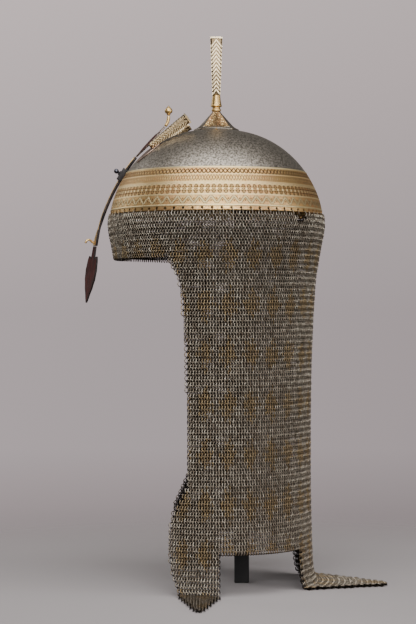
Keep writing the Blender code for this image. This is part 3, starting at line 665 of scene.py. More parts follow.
@dataclass(frozen=True)
class WateredSteel:
    """Finish of the bowl: mottled steel above a broad band inlaid with gold.

    Heights are in millimetres above the rim.
    """

    rim: float
    band_top: float = 42.6
    steel_light: Color = (0.58, 0.52, 0.445)
    steel_dark: Color = (0.15, 0.13, 0.105)
    gold: Color = (0.72, 0.43, 0.16)
    gold_pale: Color = (1.0, 0.80, 0.44)
    copper: Color = (0.74, 0.36, 0.16)
    inlay_ground: Color = (0.075, 0.036, 0.016)
    cross_count: int = 72
    lattice_count: int = 112
    rosette_count: int = 112
    zigzag_count: int = 60
    cross_limits: tuple[float, float] = (35.2, 40.4)
    lattice_limits: tuple[float, float] = (28.2, 34.2)
    zigzag_limits: tuple[float, float] = (6.4, 13.6)
    plain_strips: tuple[tuple[float, float], ...] = ((3.9, 5.7), (41.2, 42.8))
    rules: tuple[float, ...] = (34.8, 27.4, 26.3, 14.9)
    rule_half: float = 0.35
    rosette_middle: float = 20.4
    rosette_cell: float = 5.9
    scallop_height: float = 4.9

    def build(self, shared: SharedEffects) -> bpy.types.Material:
        """Make the material.

        Args:
            shared: the groups that it uses.

        Returns:
            The bowl's material.
        """
        material, graph, shader, place = new_finish("watered steel with gold band")
        around = graph.group(shared.round_bowl, Place=place)
        turns = around.outputs["Turns"]
        height = graph.math("MULTIPLY", graph.math("SUBTRACT", around.outputs["Height"], self.rim), 1000.0)
        dark, pale = self.ornament(graph, turns, height)
        grain = graph.group(shared.grain, Place=place, Fineness=560.0, Sharpness=5.0)
        wear = graph.group(shared.wear, Place=place, Patch_Scale=26.0, Pit_Scale=640.0)
        specks, patches, pits = grain.outputs["Specks"], wear.outputs["Patches"], wear.outputs["Pits"]

        steel = graph.mix(specks, self.steel_dark, self.steel_light)
        ground = graph.mix(graph.math("MULTIPLY", patches, 0.55), self.gold, self.copper)
        ground = graph.mix(graph.math("MULTIPLY", specks, 0.45), ground, self.gold_pale)
        stained = graph.mix(graph.math("MULTIPLY", pits, 0.5), ground, self.inlay_ground)
        inlaid = graph.mix(pale, stained, self.gold_pale)
        inlaid = graph.mix(dark, inlaid, self.inlay_ground)
        banded = graph.rise(height, self.band_top - 0.15, self.band_top + 0.15, 1.0, 0.0)
        color = graph.mix(banded, steel, inlaid)
        graph.feed(shader.inputs["Base Color"], color)
        shader.inputs["Metallic"].default_value = 1.0
        rough = graph.math("MULTIPLY_ADD", specks, -0.10, 0.50)
        rough = graph.math("MULTIPLY_ADD", dark, 0.15, rough)
        graph.feed(shader.inputs["Roughness"], rough)
        raised = graph.math("SUBTRACT", pale, dark)
        level = graph.math("MULTIPLY", raised, banded)
        level = graph.math("MULTIPLY_ADD", grain.outputs["Height"], 0.35, level)
        relief(graph, shader, level, 0.00012, 0.8)
        return material

    def ornament(self, graph: Graph, turns: Socket, height: Socket) -> tuple[Socket, Socket]:
        """Draw the band's strips as masks.

        Args:
            graph: the material's graph.
            turns: turns round the bowl's axis.
            height: millimetres above the rim.

        Returns:
            The mask of the dark ground and the mask of the palest gold.
        """
        crosses = self.crossed_strip(graph, turns, height, self.cross_count, self.cross_limits, 0.17)
        lattice = self.crossed_strip(graph, turns, height, self.lattice_count, self.lattice_limits, 0.12)
        rosettes, pearls = self.rosette_strip(graph, turns, height)
        zigzag_dark, zigzag_pale = self.zigzag_strip(graph, turns, height)
        rules = [graph.near(height, middle, self.rule_half) for middle in self.rules]
        plain = [graph.within(height, low, high) for low, high in self.plain_strips]
        dark = graph.any_of(crosses, graph.math("MULTIPLY", lattice, 0.85), rosettes, zigzag_dark)
        pale = graph.any_of(pearls, zigzag_pale, *rules, *plain)
        return graph.math("MINIMUM", dark, graph.math("SUBTRACT", 1.0, pale)), pale

    def zigzag(self, graph: Graph, turns: Socket, count: int) -> Socket:
        """Triangle wave from 0 to 1 and back, so many times round the bowl."""
        swing = graph.math("PINGPONG", graph.math("MULTIPLY", turns, float(count)), 0.5)
        return graph.math("MULTIPLY", swing, 2.0)

    def crossed_strip(
        self, graph: Graph, turns: Socket, height: Socket, count: int,
        limits: tuple[float, float], half_line: float,
    ) -> Socket:
        """Strip of crossed zigzags, which leave lozenges between them.

        Args:
            graph: the material's graph.
            turns: turns round the bowl's axis.
            height: millimetres above the rim.
            count: lozenges round the bowl.
            limits: lowest and highest height of the strip.
            half_line: half the width of a line, as a share of the strip's.

        Returns:
            The mask of the lines.
        """
        low, high = limits
        level = graph.math("DIVIDE", graph.math("SUBTRACT", height, low), high - low)
        wave = self.zigzag(graph, turns, count)
        first = graph.near(graph.math("SUBTRACT", level, wave), 0.0, half_line)
        second = graph.near(graph.math("ADD", level, wave), 1.0, half_line)
        return graph.all_of(graph.any_of(first, second), graph.within(height, low - 0.2, high + 0.2))

    def rosette_strip(self, graph: Graph, turns: Socket, height: Socket) -> tuple[Socket, Socket]:
        """Strip of pearls, each in a ring of dark petals, between scalloped rules.

        Args:
            graph: the material's graph.
            turns: turns round the bowl's axis.
            height: millimetres above the rim.

        Returns:
            The mask of the petals and the mask of the pearls and rules.
        """
        cell = self.rosette_cell
        share = graph.math("FRACT", graph.math("MULTIPLY_ADD", turns, float(self.rosette_count), 0.5))
        along = graph.math("MULTIPLY", graph.math("SUBTRACT", share, 0.5), cell)
        above = graph.math("SUBTRACT", height, self.rosette_middle)
        squares = [graph.math("MULTIPLY", side, side) for side in (along, above)]
        reach = graph.math("SQRT", graph.math("ADD", *squares))
        bearing = graph.math("ARCTAN2", above, along)
        petals = graph.rise(graph.math("COSINE", graph.math("MULTIPLY", bearing, 6.0)), -0.2, 0.4)
        ring = graph.all_of(graph.near(reach, 1.9, 0.7), petals)
        between = graph.math("SUBTRACT", cell / 2, graph.math("ABSOLUTE", along))
        beyond = graph.math("SUBTRACT", graph.math("ABSOLUTE", above), 2.7)
        corner = [graph.math("MULTIPLY", side, side) for side in (between, beyond)]
        apart = graph.math("SQRT", graph.math("ADD", *corner))
        sprig = graph.any_of(graph.near(apart, 0.0, 0.5), graph.near(apart, 1.35, 0.4))
        wave = graph.math("COSINE", graph.math("MULTIPLY", turns, math.tau * self.rosette_count))
        edge = graph.math("MULTIPLY_ADD", wave, 0.35, graph.math("ABSOLUTE", above))
        dark = graph.all_of(graph.any_of(ring, sprig), graph.rise(edge, 4.2, 4.6, 1.0, 0.0))
        pearl = graph.rise(reach, 0.9, 1.25, 1.0, 0.0)
        return dark, graph.any_of(pearl, graph.near(edge, self.scallop_height, self.rule_half))

    def zigzag_strip(self, graph: Graph, turns: Socket, height: Socket) -> tuple[Socket, Socket]:
        """Strip of a double zigzag with a dot in every triangle.

        Args:
            graph: the material's graph.
            turns: turns round the bowl's axis.
            height: millimetres above the rim.

        Returns:
            The mask of the dark outlines and dots, and the mask of the bright zigzag.
        """
        low, high = self.zigzag_limits
        level = graph.math("DIVIDE", graph.math("SUBTRACT", height, low), high - low)
        wave = self.zigzag(graph, turns, self.zigzag_count)
        apart = graph.math("SUBTRACT", level, wave)
        inside = graph.within(height, low - 0.4, high + 0.4)
        pale = graph.any_of(graph.near(apart, -0.10, 0.07), graph.near(apart, 0.10, 0.07))
        dark = graph.any_of(
            graph.near(apart, 0.0, 0.05), graph.near(apart, -0.24, 0.07), graph.near(apart, 0.24, 0.07),
            graph.all_of(graph.rise(wave, 0.86, 0.94), graph.near(level, 0.38, 0.11)),
            graph.all_of(graph.rise(wave, 0.06, 0.14, 1.0, 0.0), graph.near(level, 0.62, 0.11)),
        )
        return graph.all_of(dark, inside), graph.all_of(pale, inside)


@dataclass(frozen=True)
class WornGilding:
    """Gilding over steel or copper, rubbed pale on high places and brown in low ones."""

    name: str
    bright: Color
    deep: Color
    dark: Color
    roughness: float = 0.34
    patch_scale: float = 90.0
    dark_share: float = 0.5

    def build(self, shared: SharedEffects) -> bpy.types.Material:
        """Make the material.

        Args:
            shared: the groups that it uses.

        Returns:
            The gilding's material.
        """
        material, graph, shader, place = new_finish(self.name)
        grain = graph.group(shared.grain, Place=place, Fineness=900.0, Sharpness=2.6)
        wear = graph.group(shared.wear, Place=place, Patch_Scale=self.patch_scale, Pit_Scale=700.0)
        color = graph.mix(grain.outputs["Specks"], self.deep, self.bright)
        stain = graph.math("MULTIPLY", wear.outputs["Pits"], self.dark_share)
        color = graph.mix(stain, color, self.dark)
        color = graph.mix(graph.math("MULTIPLY", wear.outputs["Patches"], 0.35), color, self.deep)
        graph.feed(shader.inputs["Base Color"], color)
        shader.inputs["Metallic"].default_value = 1.0
        rough = graph.math("MULTIPLY_ADD", wear.outputs["Patches"], 0.14, self.roughness)
        graph.feed(shader.inputs["Roughness"], rough)
        relief(graph, shader, grain.outputs["Height"], 0.00008, 0.7)
        return material


@dataclass(frozen=True)
class PanelledGilding:
    """Finish of the finial's base: flowered gold panels toward the sides, steel elsewhere."""

    foot: float
    gold: Color = (0.83, 0.60, 0.30)
    ground: Color = (0.28, 0.17, 0.08)
    copper: Color = (0.75, 0.40, 0.20)
    steel: Color = (0.36, 0.34, 0.31)
    flower_scale: float = 430.0
    side_turn: float = 0.25
    half_turn: float = 0.125
    sides: int = 8
    lip: Color = (0.80, 0.70, 0.55)
    scallop_rise: float = 0.0034
    scallop_depth: float = 0.0036

    def build(self, shared: SharedEffects) -> bpy.types.Material:
        """Make the material.

        Args:
            shared: the groups that it uses.

        Returns:
            The base's material.
        """
        material, graph, shader, place = new_finish("gilt panels")
        around = graph.group(shared.round_bowl, Place=place)
        grain = graph.group(shared.grain, Place=place, Fineness=800.0, Sharpness=2.8)
        petals = graph.node("ShaderNodeTexVoronoi", feature="DISTANCE_TO_EDGE")
        graph.feed(petals.inputs["Vector"], place)
        petals.inputs["Scale"].default_value = self.flower_scale
        flower = graph.rise(petals.outputs["Distance"], 0.08, 0.22)
        tint = graph.noise(place, 120.0)
        gold = graph.mix(graph.rise(tint, 0.42, 0.62), self.gold, self.copper)
        panel = graph.mix(flower, self.ground, gold)
        away = graph.math("SUBTRACT", graph.math("ABSOLUTE", around.outputs["Turns"]), self.side_turn)
        toward = graph.math("ABSOLUTE", away)
        side = graph.rise(toward, self.half_turn - 0.004, self.half_turn + 0.004, 1.0, 0.0)
        swing = graph.math("PINGPONG", graph.math("MULTIPLY", around.outputs["Turns"], self.sides), 0.5)
        arch = graph.math("MULTIPLY", swing, swing)
        scallop = graph.math("MULTIPLY_ADD", arch, -self.scallop_depth, self.foot + self.scallop_rise)
        over = graph.math("SUBTRACT", around.outputs["Height"], scallop)
        above = graph.rise(over, 0.0, 0.0004)
        steel = graph.mix(grain.outputs["Specks"], self.steel, self.gold)
        steel = graph.mix(0.75, steel, self.steel)
        lip = graph.all_of(side, graph.near(over, -0.0003, 0.00035))
        color = graph.mix(lip, graph.mix(graph.all_of(side, above), steel, panel), self.lip)
        turn = graph.math("MULTIPLY", swing, math.tau / self.sides)
        aside = graph.math("MULTIPLY", turn, around.outputs["Radius"])
        groove = graph.rise(aside, 0.0002, 0.00045, 1.0, 0.0)
        color = graph.mix(graph.math("MULTIPLY", groove, 0.85), color, self.ground)
        graph.feed(shader.inputs["Base Color"], color)
        shader.inputs["Metallic"].default_value = 1.0
        shader.inputs["Roughness"].default_value = 0.36
        level = graph.all_of(flower, side, above)
        relief(graph, shader, graph.math("MULTIPLY_ADD", grain.outputs["Height"], 0.2, level), 0.0002, 0.8)
        return material


@dataclass(frozen=True)
class BrownedSteel:
    """Steel browned and oiled, with streaks along the leaf and a dark edge."""

    name: str
    light: Color
    dark: Color
    roughness: float
    metallic: float = 0.85
    streak: tuple[float, float, float] = (260.0, 260.0, 60.0)

    def build(self, shared: SharedEffects) -> bpy.types.Material:
        """Make the material.

        Args:
            shared: the groups that it uses.

        Returns:
            The browned steel's material.
        """
        material, graph, shader, place = new_finish(self.name)
        stretch = graph.node("ShaderNodeMapping")
        graph.feed(stretch.inputs["Vector"], place)
        stretch.inputs["Scale"].default_value = self.streak
        streaks = graph.noise(stretch.outputs[0], 1.0, 4.0, 0.6)
        wear = graph.group(shared.wear, Place=place, Patch_Scale=110.0, Pit_Scale=800.0)
        color = graph.mix(graph.rise(streaks, 0.35, 0.68), self.dark, self.light)
        color = graph.mix(graph.math("MULTIPLY", wear.outputs["Pits"], 0.4), color, self.dark)
        graph.feed(shader.inputs["Base Color"], color)
        shader.inputs["Metallic"].default_value = self.metallic
        rough = graph.math("MULTIPLY_ADD", wear.outputs["Patches"], 0.15, self.roughness)
        graph.feed(shader.inputs["Roughness"], rough)
        relief(graph, shader, streaks, 0.0001, 0.5)
        return material


@dataclass(frozen=True)
class MailRings:
    """Wire of the mail's rings: steel, with brass ones where the tone's red says so.

    The outer half of every ring keeps the wire's colour, and the inner half is painted near black: painted
    shade between the rings, with some grime.
    """

    steel_light: Color = (0.66, 0.59, 0.48)
    steel_dark: Color = (0.24, 0.20, 0.155)
    brass: Color = (0.46, 0.31, 0.125)
    rust: Color = (0.20, 0.12, 0.07)
    shade_and_grime: Color = (0.022, 0.016, 0.011)
    roughness: float = 0.30

    def build(self, shared: SharedEffects) -> bpy.types.Material:
        """Make the material.

        Args:
            shared: the groups that it uses.

        Returns:
            The rings' material.
        """
        material, graph, shader, place = new_finish("mail wire")
        tone = graph.node("ShaderNodeAttribute", attribute_name="tone")
        parts = graph.node("ShaderNodeSeparateColor")
        graph.feed(parts.inputs[0], tone.outputs["Color"])
        grain = graph.group(shared.grain, Place=place, Fineness=1500.0, Sharpness=2.0)
        steel = graph.mix(parts.outputs[1], self.steel_dark, self.steel_light)
        color = graph.mix(parts.outputs[0], steel, self.brass)
        stain = graph.math("MULTIPLY", parts.outputs[2], grain.outputs["Specks"])
        # painted shade: the inner half of every ring is mixed to a near-black colour that stands for the
        # shade between the rings, with some grime
        rubbed = graph.rise(tone.outputs["Alpha"], 0.58, 0.94)
        color = graph.mix(rubbed, self.shade_and_grime, graph.mix(stain, color, self.rust))
        graph.feed(shader.inputs["Base Color"], color)
        shader.inputs["Metallic"].default_value = 0.95
        graph.feed(shader.inputs["Roughness"], graph.math("MULTIPLY_ADD", stain, 0.3, self.roughness))
        relief(graph, shader, grain.outputs["Height"], 0.00004, 0.4)
        return material


@dataclass(frozen=True)
class PostPaint:
    """Satin black paint with a faint grain, rubbed here and there."""

    color: Color = (0.006, 0.006, 0.006)
    rubbed: Color = (0.014, 0.0135, 0.013)

    def build(self, shared: SharedEffects) -> bpy.types.Material:
        """Make the material.

        Args:
            shared: the groups that it uses.

        Returns:
            The paint's material.
        """
        material, graph, shader, place = new_finish("black paint")
        wear = graph.group(shared.wear, Place=place, Patch_Scale=60.0, Pit_Scale=300.0)
        grain = graph.group(shared.grain, Place=place, Fineness=500.0, Sharpness=2.0)
        share = graph.math("MULTIPLY", wear.outputs["Patches"], grain.outputs["Specks"])
        graph.feed(shader.inputs["Base Color"], graph.mix(share, self.color, self.rubbed))
        rough = graph.math("MULTIPLY_ADD", grain.outputs["Specks"], 0.12, 0.52)
        graph.feed(shader.inputs["Roughness"], rough)
        relief(graph, shader, grain.outputs["Height"], 0.0001, 0.5)
        return material


# Sub-assemblies


@dataclass
class BowlForm:
    """Outline of the bowl's outside, a superellipse turned about its axis."""

    axis_x: float
    rim: float
    radius: float
    height: float
    side_power: float = 2.355
    crown_power: float = 1.6
    step: float = 0.0001

    @classmethod
    def from_frame(cls) -> "BowlForm":
        """Read the bowl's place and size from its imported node."""
        low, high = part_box("bowl")
        return cls((low.x + high.x) / 2, low.z, (high.x - low.x) / 2, high.z - low.z)

    def point(self, turn: float) -> tuple[float, float]:
        """Radius and height above the rim at a turn, 0 at the rim and a quarter turn at the apex."""
        radius = self.radius * max(math.cos(turn), 0.0) ** (2 / self.side_power)
        return radius, self.height * math.sin(turn) ** (2 / self.crown_power)

    def turn(self, height: float) -> float:
        """Turn at which the outline reaches a height above the rim."""
        return math.asin((height / self.height) ** (self.crown_power / 2))

    def normal(self, turn: float) -> tuple[float, float]:
        """Outward normal of the outline.

        Args:
            turn: where on the outline.

        Returns:
            Its radial and vertical parts.
        """
        if turn < self.step:
            return 1.0, 0.0
        if turn > math.pi / 2 - 2 * self.step:
            return 0.0, 1.0
        low, high = self.point(turn - self.step), self.point(turn + self.step)
        rise, inward = high[1] - low[1], low[0] - high[0]
        length = math.hypot(rise, inward)
        return rise / length, inward / length

    def offset(self, turn: float, lift: float) -> tuple[float, float]:
        """Point of the outline moved out along its normal.

        Args:
            turn: where on the outline.
            lift: how far it is moved.

        Returns:
            Its radius, and its height above the rim.
        """
        radius, height = self.point(turn)
        out, up = self.normal(turn)
        return radius + lift * out, height + lift * up

    def axis(self, height: float = 0.0) -> Vector:
        """Point of the axis at a height above the rim."""
        return Vector((self.axis_x, 0.0, self.rim + height))


@dataclass
class Bowl:
    """Skull of the helmet, with two raised lines and its pierced rim."""

    form: BowlForm
    wall: float = 0.0018
    line_rise: float = 0.0004
    line_fullness: float = 0.6
    line_shares: tuple[float, ...] = (0.0, 0.12, 0.3, 0.5, 0.7, 0.88, 1.0)
    lines: tuple[tuple[float, float], ...] = ((0.0047, 0.0018), (0.0420, 0.0014))
    hole_count: int = 72
    hole_radius: float = 0.0013
    hole_height: float = 0.0023
    round_steps: int = 144
    outline_steps: int = 40
    drop_length: float = 0.0085
    drop_width: float = 0.0034
    drop_rise: float = 0.0006
    drop_taper: float = 0.75
    drop_radius: float = 0.0275

    def outline(self) -> list[tuple[float, float]]:
        """Outline of the wall: outside from the apex to the rim, then back inside.

        Returns:
            (radius, height above the rim) points.
        """
        form = self.form
        turns = [math.pi / 2 * (1 - index / self.outline_steps) for index in range(self.outline_steps)]
        rows = [(turn, 0.0) for turn in turns]
        for height, width in self.lines:
            low, high = form.turn(height - width / 2), form.turn(height + width / 2)
            rows = [row for row in rows if not low <= row[0] <= high]
            for share in self.line_shares:
                rise = self.line_rise * math.sin(math.pi * share) ** self.line_fullness
                rows.append((low + (high - low) * share, rise))
        rows.sort(reverse=True)
        points = [form.offset(turn, lift) for turn, lift in rows]
        edge = self.wall * 0.3
        points += [(form.radius, edge), (form.radius - edge, 0.0)]
        points += [(form.radius - self.wall + edge, 0.0), (form.radius - self.wall, edge)]
        inside = self.outline_steps // 2
        for index in range(1, inside + 1):
            points.append(form.offset(math.pi / 2 * index / inside, -self.wall))
        points[-1] = (0.0, points[-1][1])
        return [(0.0, form.height)] + points[1:]

    def rim_pegs(self) -> bpy.types.Object:
        """Model one peg through the rim and spin its copies round the axis.

        Returns:
            The pegs, one through each hole of the rim.
        """
        form = self.form
        half_pitch = math.pi / self.hole_count
        out = Vector((math.cos(half_pitch), math.sin(half_pitch), 0.0))
        choose_nothing()
        bpy.ops.mesh.primitive_cylinder_add(
            vertices=12, radius=self.hole_radius, depth=self.wall * 4,
            location=form.axis(self.hole_height) + out * form.radius,
            rotation=(0.0, math.pi / 2, half_pitch),
        )
        pegs = bpy.context.active_object
        choose(pegs)
        bpy.ops.object.transform_apply(location=True, rotation=True, scale=True)
        with editing(pegs):
            bpy.ops.mesh.select_all(action="SELECT")
            copies = self.hole_count - 1
            bpy.ops.mesh.spin(
                steps=copies, angle=math.tau * copies / self.hole_count, dupli=True,
                center=form.axis(), axis=(0.0, 0.0, 1.0),
            )
        return pegs

    def build(self, finish: bpy.types.Material, gilding: bpy.types.Material) -> None:
        """Make the bowl and the gold drops under the finial.

        Args:
            finish: material of the bowl.
            gilding: material of the drops.
        """
        bowl = turned("bowl_skull", self.outline(), self.form.axis(), self.round_steps)
        pegs = self.rim_pegs()
        apply_modifier(bowl, "BOOLEAN", object=pegs, operation="DIFFERENCE", solver="EXACT")
        bpy.data.objects.remove(pegs)
        shade(bowl)
        dress(bowl, finish, Slot.WATERED_STEEL, Body.HELMET, "bowl")
        dress(self.drops(), gilding, Slot.GILT, Body.HELMET)

    def drops(self) -> bpy.types.Object:
        """Four pointed drops of gold laid on the bowl below the finial.

        Returns:
            The drops as one object.
        """
        choose_nothing()
        bpy.ops.mesh.primitive_uv_sphere_add(segments=16, ring_count=8, radius=0.5)
        drop = bpy.context.active_object
        with editing(drop, "VERT"):
            work = bmesh.from_edit_mesh(drop.data)
            for vert in work.verts:
                vert.co.y *= 1.0 - self.drop_taper * max(vert.co.x, 0.0) * 2
            bmesh.update_edit_mesh(drop.data)
        turn = math.acos((self.drop_radius / self.form.radius) ** (self.form.side_power / 2))
        radius, height = self.form.offset(turn, 0.0)
        out, up = self.form.normal(turn)
        places = []
        for quarter in range(4):
            spin = Matrix.Rotation(math.pi / 2 * quarter, 3, "Z")
            down = spin @ Vector((up, 0.0, -out))
            across = spin @ Vector((0.0, 1.0, 0.0))
            normal = spin @ Vector((out, 0.0, up))
            place = self.form.axis(height) + spin @ Vector((radius, 0.0, 0.0))
            places.append(frame_matrix(
                down * self.drop_length, across * self.drop_width, normal * self.drop_rise * 2, place,
            ))
        made = joined_copies("bowl_gold_drops", drop.data, np.array(places))
        bpy.data.objects.remove(drop)
        return made


@dataclass
class FlatSidedTube:
    """Flaring square tube whose faces carry raised chevrons, measured from its closed foot."""

    node: str
    place: Matrix
    foot_half: float
    mouth_half: float
    length: float
    chevrons: int
    chamfer_share: float = 0.22
    rise: float = 0.00035
    drop_share: float = 1.35
    bar_share: float = 0.52
    face_share: float = 0.94
    band: float = 0.0016
    bottom_margin: float = 0.0010
    bevel: float = 0.00018
    name: str = ""

    def face_point(self, side: int, across: float, along: float, lift: float) -> Vector:
        """Place on or over a face of the tube.

        Args:
            side: which face, 0 to 3 round the tube.
            across: distance from the face's middle line.
            along: distance from the foot.
            lift: distance out from the face.

        Returns:
            The point in the object's frame.
        """
        slope = (self.mouth_half - self.foot_half) / self.length
        out = self.foot_half + slope * along + lift
        local = Matrix.Rotation(math.pi / 2 * side, 4, "Z") @ Vector((out, across, along))
        return self.place @ local

    def bar(
        self, side: int, start: tuple[float, float], end: tuple[float, float], width: float,
    ) -> np.ndarray:
        """Place of one raised bar between two points of a face.

        Args:
            side: which face.
            start: its end at the smaller across, as (across, along).
            end: its other end.
            width: its width along the tube.

        Returns:
            The matrix that places the unit bar there.
        """
        first = self.face_point(side, *start, 0.0)
        last = self.face_point(side, *end, 0.0)
        low = self.face_point(side, 0.0, start[1], 0.0)
        along = self.face_point(side, 0.0, start[1] + width, 0.0) - low
        out = self.face_point(side, 0.0, start[1], self.rise) - low
        return frame_matrix(last - first, along, out * 2, (first + last) / 2)

    def raised_bars(self) -> list[np.ndarray]:
        """Places of all the chevrons' bars and of the plain band at the mouth.

        Returns:
            The matrices that place the unit bar.
        """
        places = []
        chamfer = self.foot_half * self.chamfer_share
        slope = (self.mouth_half - self.foot_half) / self.length
        pitch = (self.length - 2 * self.band - self.bottom_margin) / self.chevrons
        for side in range(4):
            for index in range(self.chevrons):
                top = self.bottom_margin + pitch * (index + 1)
                half = (self.foot_half + slope * top - chamfer) * self.face_share
                bottom = max(top - half * self.drop_share, self.bottom_margin)
                width = pitch * self.bar_share
                places.append(self.bar(side, (-half, bottom), (0.0, top), width))
                places.append(self.bar(side, (0.0, top), (half, bottom), width))
            edge = self.mouth_half - chamfer
            level = self.length - self.band / 2
            places.append(self.bar(side, (-edge, level), (edge, level), self.band))
        return places

    def build(self, ground: bpy.types.Material, gilding: bpy.types.Material, bar: bpy.types.Mesh) -> None:
        """Make the tube and its chevrons.

        Args:
            ground: material of the tube between the chevrons.
            gilding: material of the chevrons.
            bar: the unit bar's mesh.
        """
        tube = bevelled(refined(self.node, self.name), self.bevel)
        dress(tube, ground, Slot.SILVER_GILT, Body.HELMET, self.node)
        bars = joined_copies(self.name + "_chevrons", bar, np.array(self.raised_bars()))
        shade(bars)
        dress(bars, gilding, Slot.SILVER_GILT, Body.HELMET)


@dataclass
class Finial:
    """Eight-ridged base, turned collar and flaring tube on the crown."""

    form: BowlForm
    sides: int = 8
    base_radius: float = 0.0226
    neck_radius: float = 0.0042
    collar_radius: float = 0.0056
    tube_foot_half: float = 0.0037
    tube_mouth_half: float = 0.0058
    chevrons: int = 13
    panel_border: float = 0.0007
    panel_depth: float = 0.00035
    panel_foot: float = 0.0022
    panel_top: float = 0.0015
    lip_width: float = 0.0012
    gap: float = 0.0003
    bevel: float = 0.00012
    collar_steps: int = 40

    def base_outline(self) -> list[tuple[float, float]]:
        """Concave outline of the base with its turned-out lip, above the bowl's seat.

        Returns:
            Radius and height above the rim of each point, from the neck to the lip.
        """
        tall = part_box("finial_base")[1].z - self.seat()
        shares = [
            (1.00, -0.30), (1.00, 0.00), (0.95, 0.03), (0.85, 0.12), (0.74, 0.23), (0.62, 0.34),
            (0.50, 0.45), (0.38, 0.565), (0.27, 0.67), (0.19, 0.77), (0.13, 0.87), (0.095, 0.95),
            (0.085, 0.985), (0.07, 1.0), (0.0, 1.0),
        ]
        reach = self.base_radius - self.neck_radius
        points = []
        for rise, out in shares:
            points.append((self.neck_radius + reach * out, self.seat() + tall * rise - self.form.rim))
        foot = points[-1]
        return points + [(foot[0] - self.lip_width, foot[1] + self.gap)]

    def seat(self) -> float:
        """Height at which the base's rim meets the bowl."""
        turn = math.acos((self.base_radius / self.form.radius) ** (self.form.side_power / 2))
        return self.form.rim + self.form.offset(turn, 0.0)[1] + self.gap

    def build_base(self, finish: bpy.types.Material) -> None:
        """Make the base, with a sunk panel between every two ridges.

        Args:
            finish: material of the base.
        """
        base = turned("finial_base_panels", self.base_outline(), self.form.axis(), self.sides)
        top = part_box("finial_base")[1].z - self.panel_top
        foot = self.seat() + self.panel_foot
        with editing(base):
            for side in range(self.sides):
                middle = math.tau * (side + 0.5) / self.sides
                out = Vector((math.cos(middle), math.sin(middle), 0.0))

                def on_panel(face: bmesh.types.BMFace, out: Vector = out) -> bool:
                    """Say whether a face belongs to the panel on this side."""
                    centre = face.calc_center_median()
                    flat = Vector((centre.x - self.form.axis_x, centre.y, 0.0))
                    inside = foot < centre.z < top
                    return inside and flat.length > self.neck_radius and flat.normalized().dot(out) > 0.99

                select_faces(base, on_panel)
                bpy.ops.mesh.inset(thickness=self.panel_border, depth=-self.panel_depth)
        bevelled(base, self.bevel)
        dress(base, finish, Slot.GILT, Body.HELMET, "finial_base")

    def build_collar(self, finish: bpy.types.Material) -> None:
        """Make the turned collar.

        Args:
            finish: material of the collar.
        """
        low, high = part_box("finial_collar")
        tall = high.z - low.z
        shares = [
            (0.00, 0.0), (0.00, 0.70), (0.02, 0.80), (0.08, 0.84), (0.13, 0.82), (0.165, 0.74),
            (0.20, 0.66), (0.235, 0.66), (0.265, 0.72), (0.285, 0.80), (0.30, 0.93), (0.325, 1.0),
            (0.36, 1.0), (0.385, 0.955), (0.40, 0.93), (0.44, 0.91), (0.58, 0.84), (0.72, 0.78),
            (0.88, 0.73), (0.955, 0.715), (0.96, 0.66), (0.985, 0.66), (0.99, 0.70), (1.00, 0.69),
            (1.00, 0.0),
        ]
        foot = low.z - self.form.rim
        outline = [(self.collar_radius * out, foot + tall * rise) for rise, out in shares]
        collar = turned("finial_collar_turned", outline, self.form.axis(), self.collar_steps)
        shade(collar)
        dress(collar, finish, Slot.GILT, Body.HELMET, "finial_collar")

    def tube(self) -> FlatSidedTube:
        """Describe the finial's tube."""
        low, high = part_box("finial_tube")
        return FlatSidedTube(
            node="finial_tube", place=Matrix.Translation((self.form.axis_x, 0.0, low.z)),
            foot_half=self.tube_foot_half, mouth_half=self.tube_mouth_half, length=high.z - low.z,
            chevrons=self.chevrons, name="finial_tube_shaft",
        )


@dataclass
class PlumeSockets:
    """The two plume sockets and their leaf-shaped plates."""

    form: BowlForm
    angle: float = math.radians(26.0)
    height: float = 0.0635
    length: float = 0.0470
    foot_half: float = 0.0020
    mouth_half: float = 0.0042
    lean: float = math.radians(20.0)
    roll: float = math.radians(16.0)
    plate_thickness: float = 0.0009
    plate_bevel: float = 0.0002
    gap: float = 0.0003
    chevrons: int = 13

    def tube(self, label: str, side: int) -> FlatSidedTube:
        """Describe one socket's tube.

        Args:
            label: left or right.
            side: -1 for the wearer's left and 1 for the right.

        Returns:
            The tube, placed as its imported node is.
        """
        form = self.form
        turn = form.turn(self.height)
        radius, rise = form.offset(turn, 0.0)
        out, up = form.normal(turn)
        radial = Vector((-math.cos(self.angle), side * math.sin(self.angle), 0.0))
        rearward = Vector((math.sin(self.angle), side * math.cos(self.angle), 0.0))
        normal = (radial * out + UP * up).normalized()
        run = (UP * out - radial * up) * math.cos(self.lean) + rearward * math.sin(self.lean)
        axis = run.normalized()
        upright = (normal - axis * normal.dot(axis)).normalized()
        upward = Matrix.Rotation(-side * self.roll, 3, axis) @ upright
        corner = math.cos(self.roll) + math.sin(self.roll) * (1 - FlatSidedTube.chamfer_share)
        seat = 2 * self.gap + self.plate_thickness + self.foot_half * corner
        place = Matrix((upward.cross(axis), upward, axis)).transposed().to_4x4()
        place.translation = form.axis(rise) + radial * radius + normal * seat
        return FlatSidedTube(
            node=f"socket_tube_{label}", place=place, foot_half=self.foot_half, mouth_half=self.mouth_half,
            length=self.length, chevrons=self.chevrons, name=f"socket_shaft_{label}",
        )

    def build(
        self, ground: bpy.types.Material, gilding: bpy.types.Material, plate: bpy.types.Material,
        bar: bpy.types.Mesh,
    ) -> None:
        """Make both sockets.

        Args:
            ground: material of the tubes between the chevrons.
            gilding: material of the chevrons.
            plate: material of the plates.
            bar: the unit bar's mesh.
        """
        for label, side in (("left", -1), ("right", 1)):
            self.tube(label, side).build(ground, gilding, bar)
            leaf = squared(f"socket_plate_{label}", f"socket_leaf_{label}")
            bevelled(leaf, self.plate_bevel)
            apply_modifier(leaf, "SUBSURF", levels=1, render_levels=1)
            shade(leaf)
            dress(leaf, plate, Slot.SILVER_GILT, Body.HELMET, f"socket_plate_{label}")


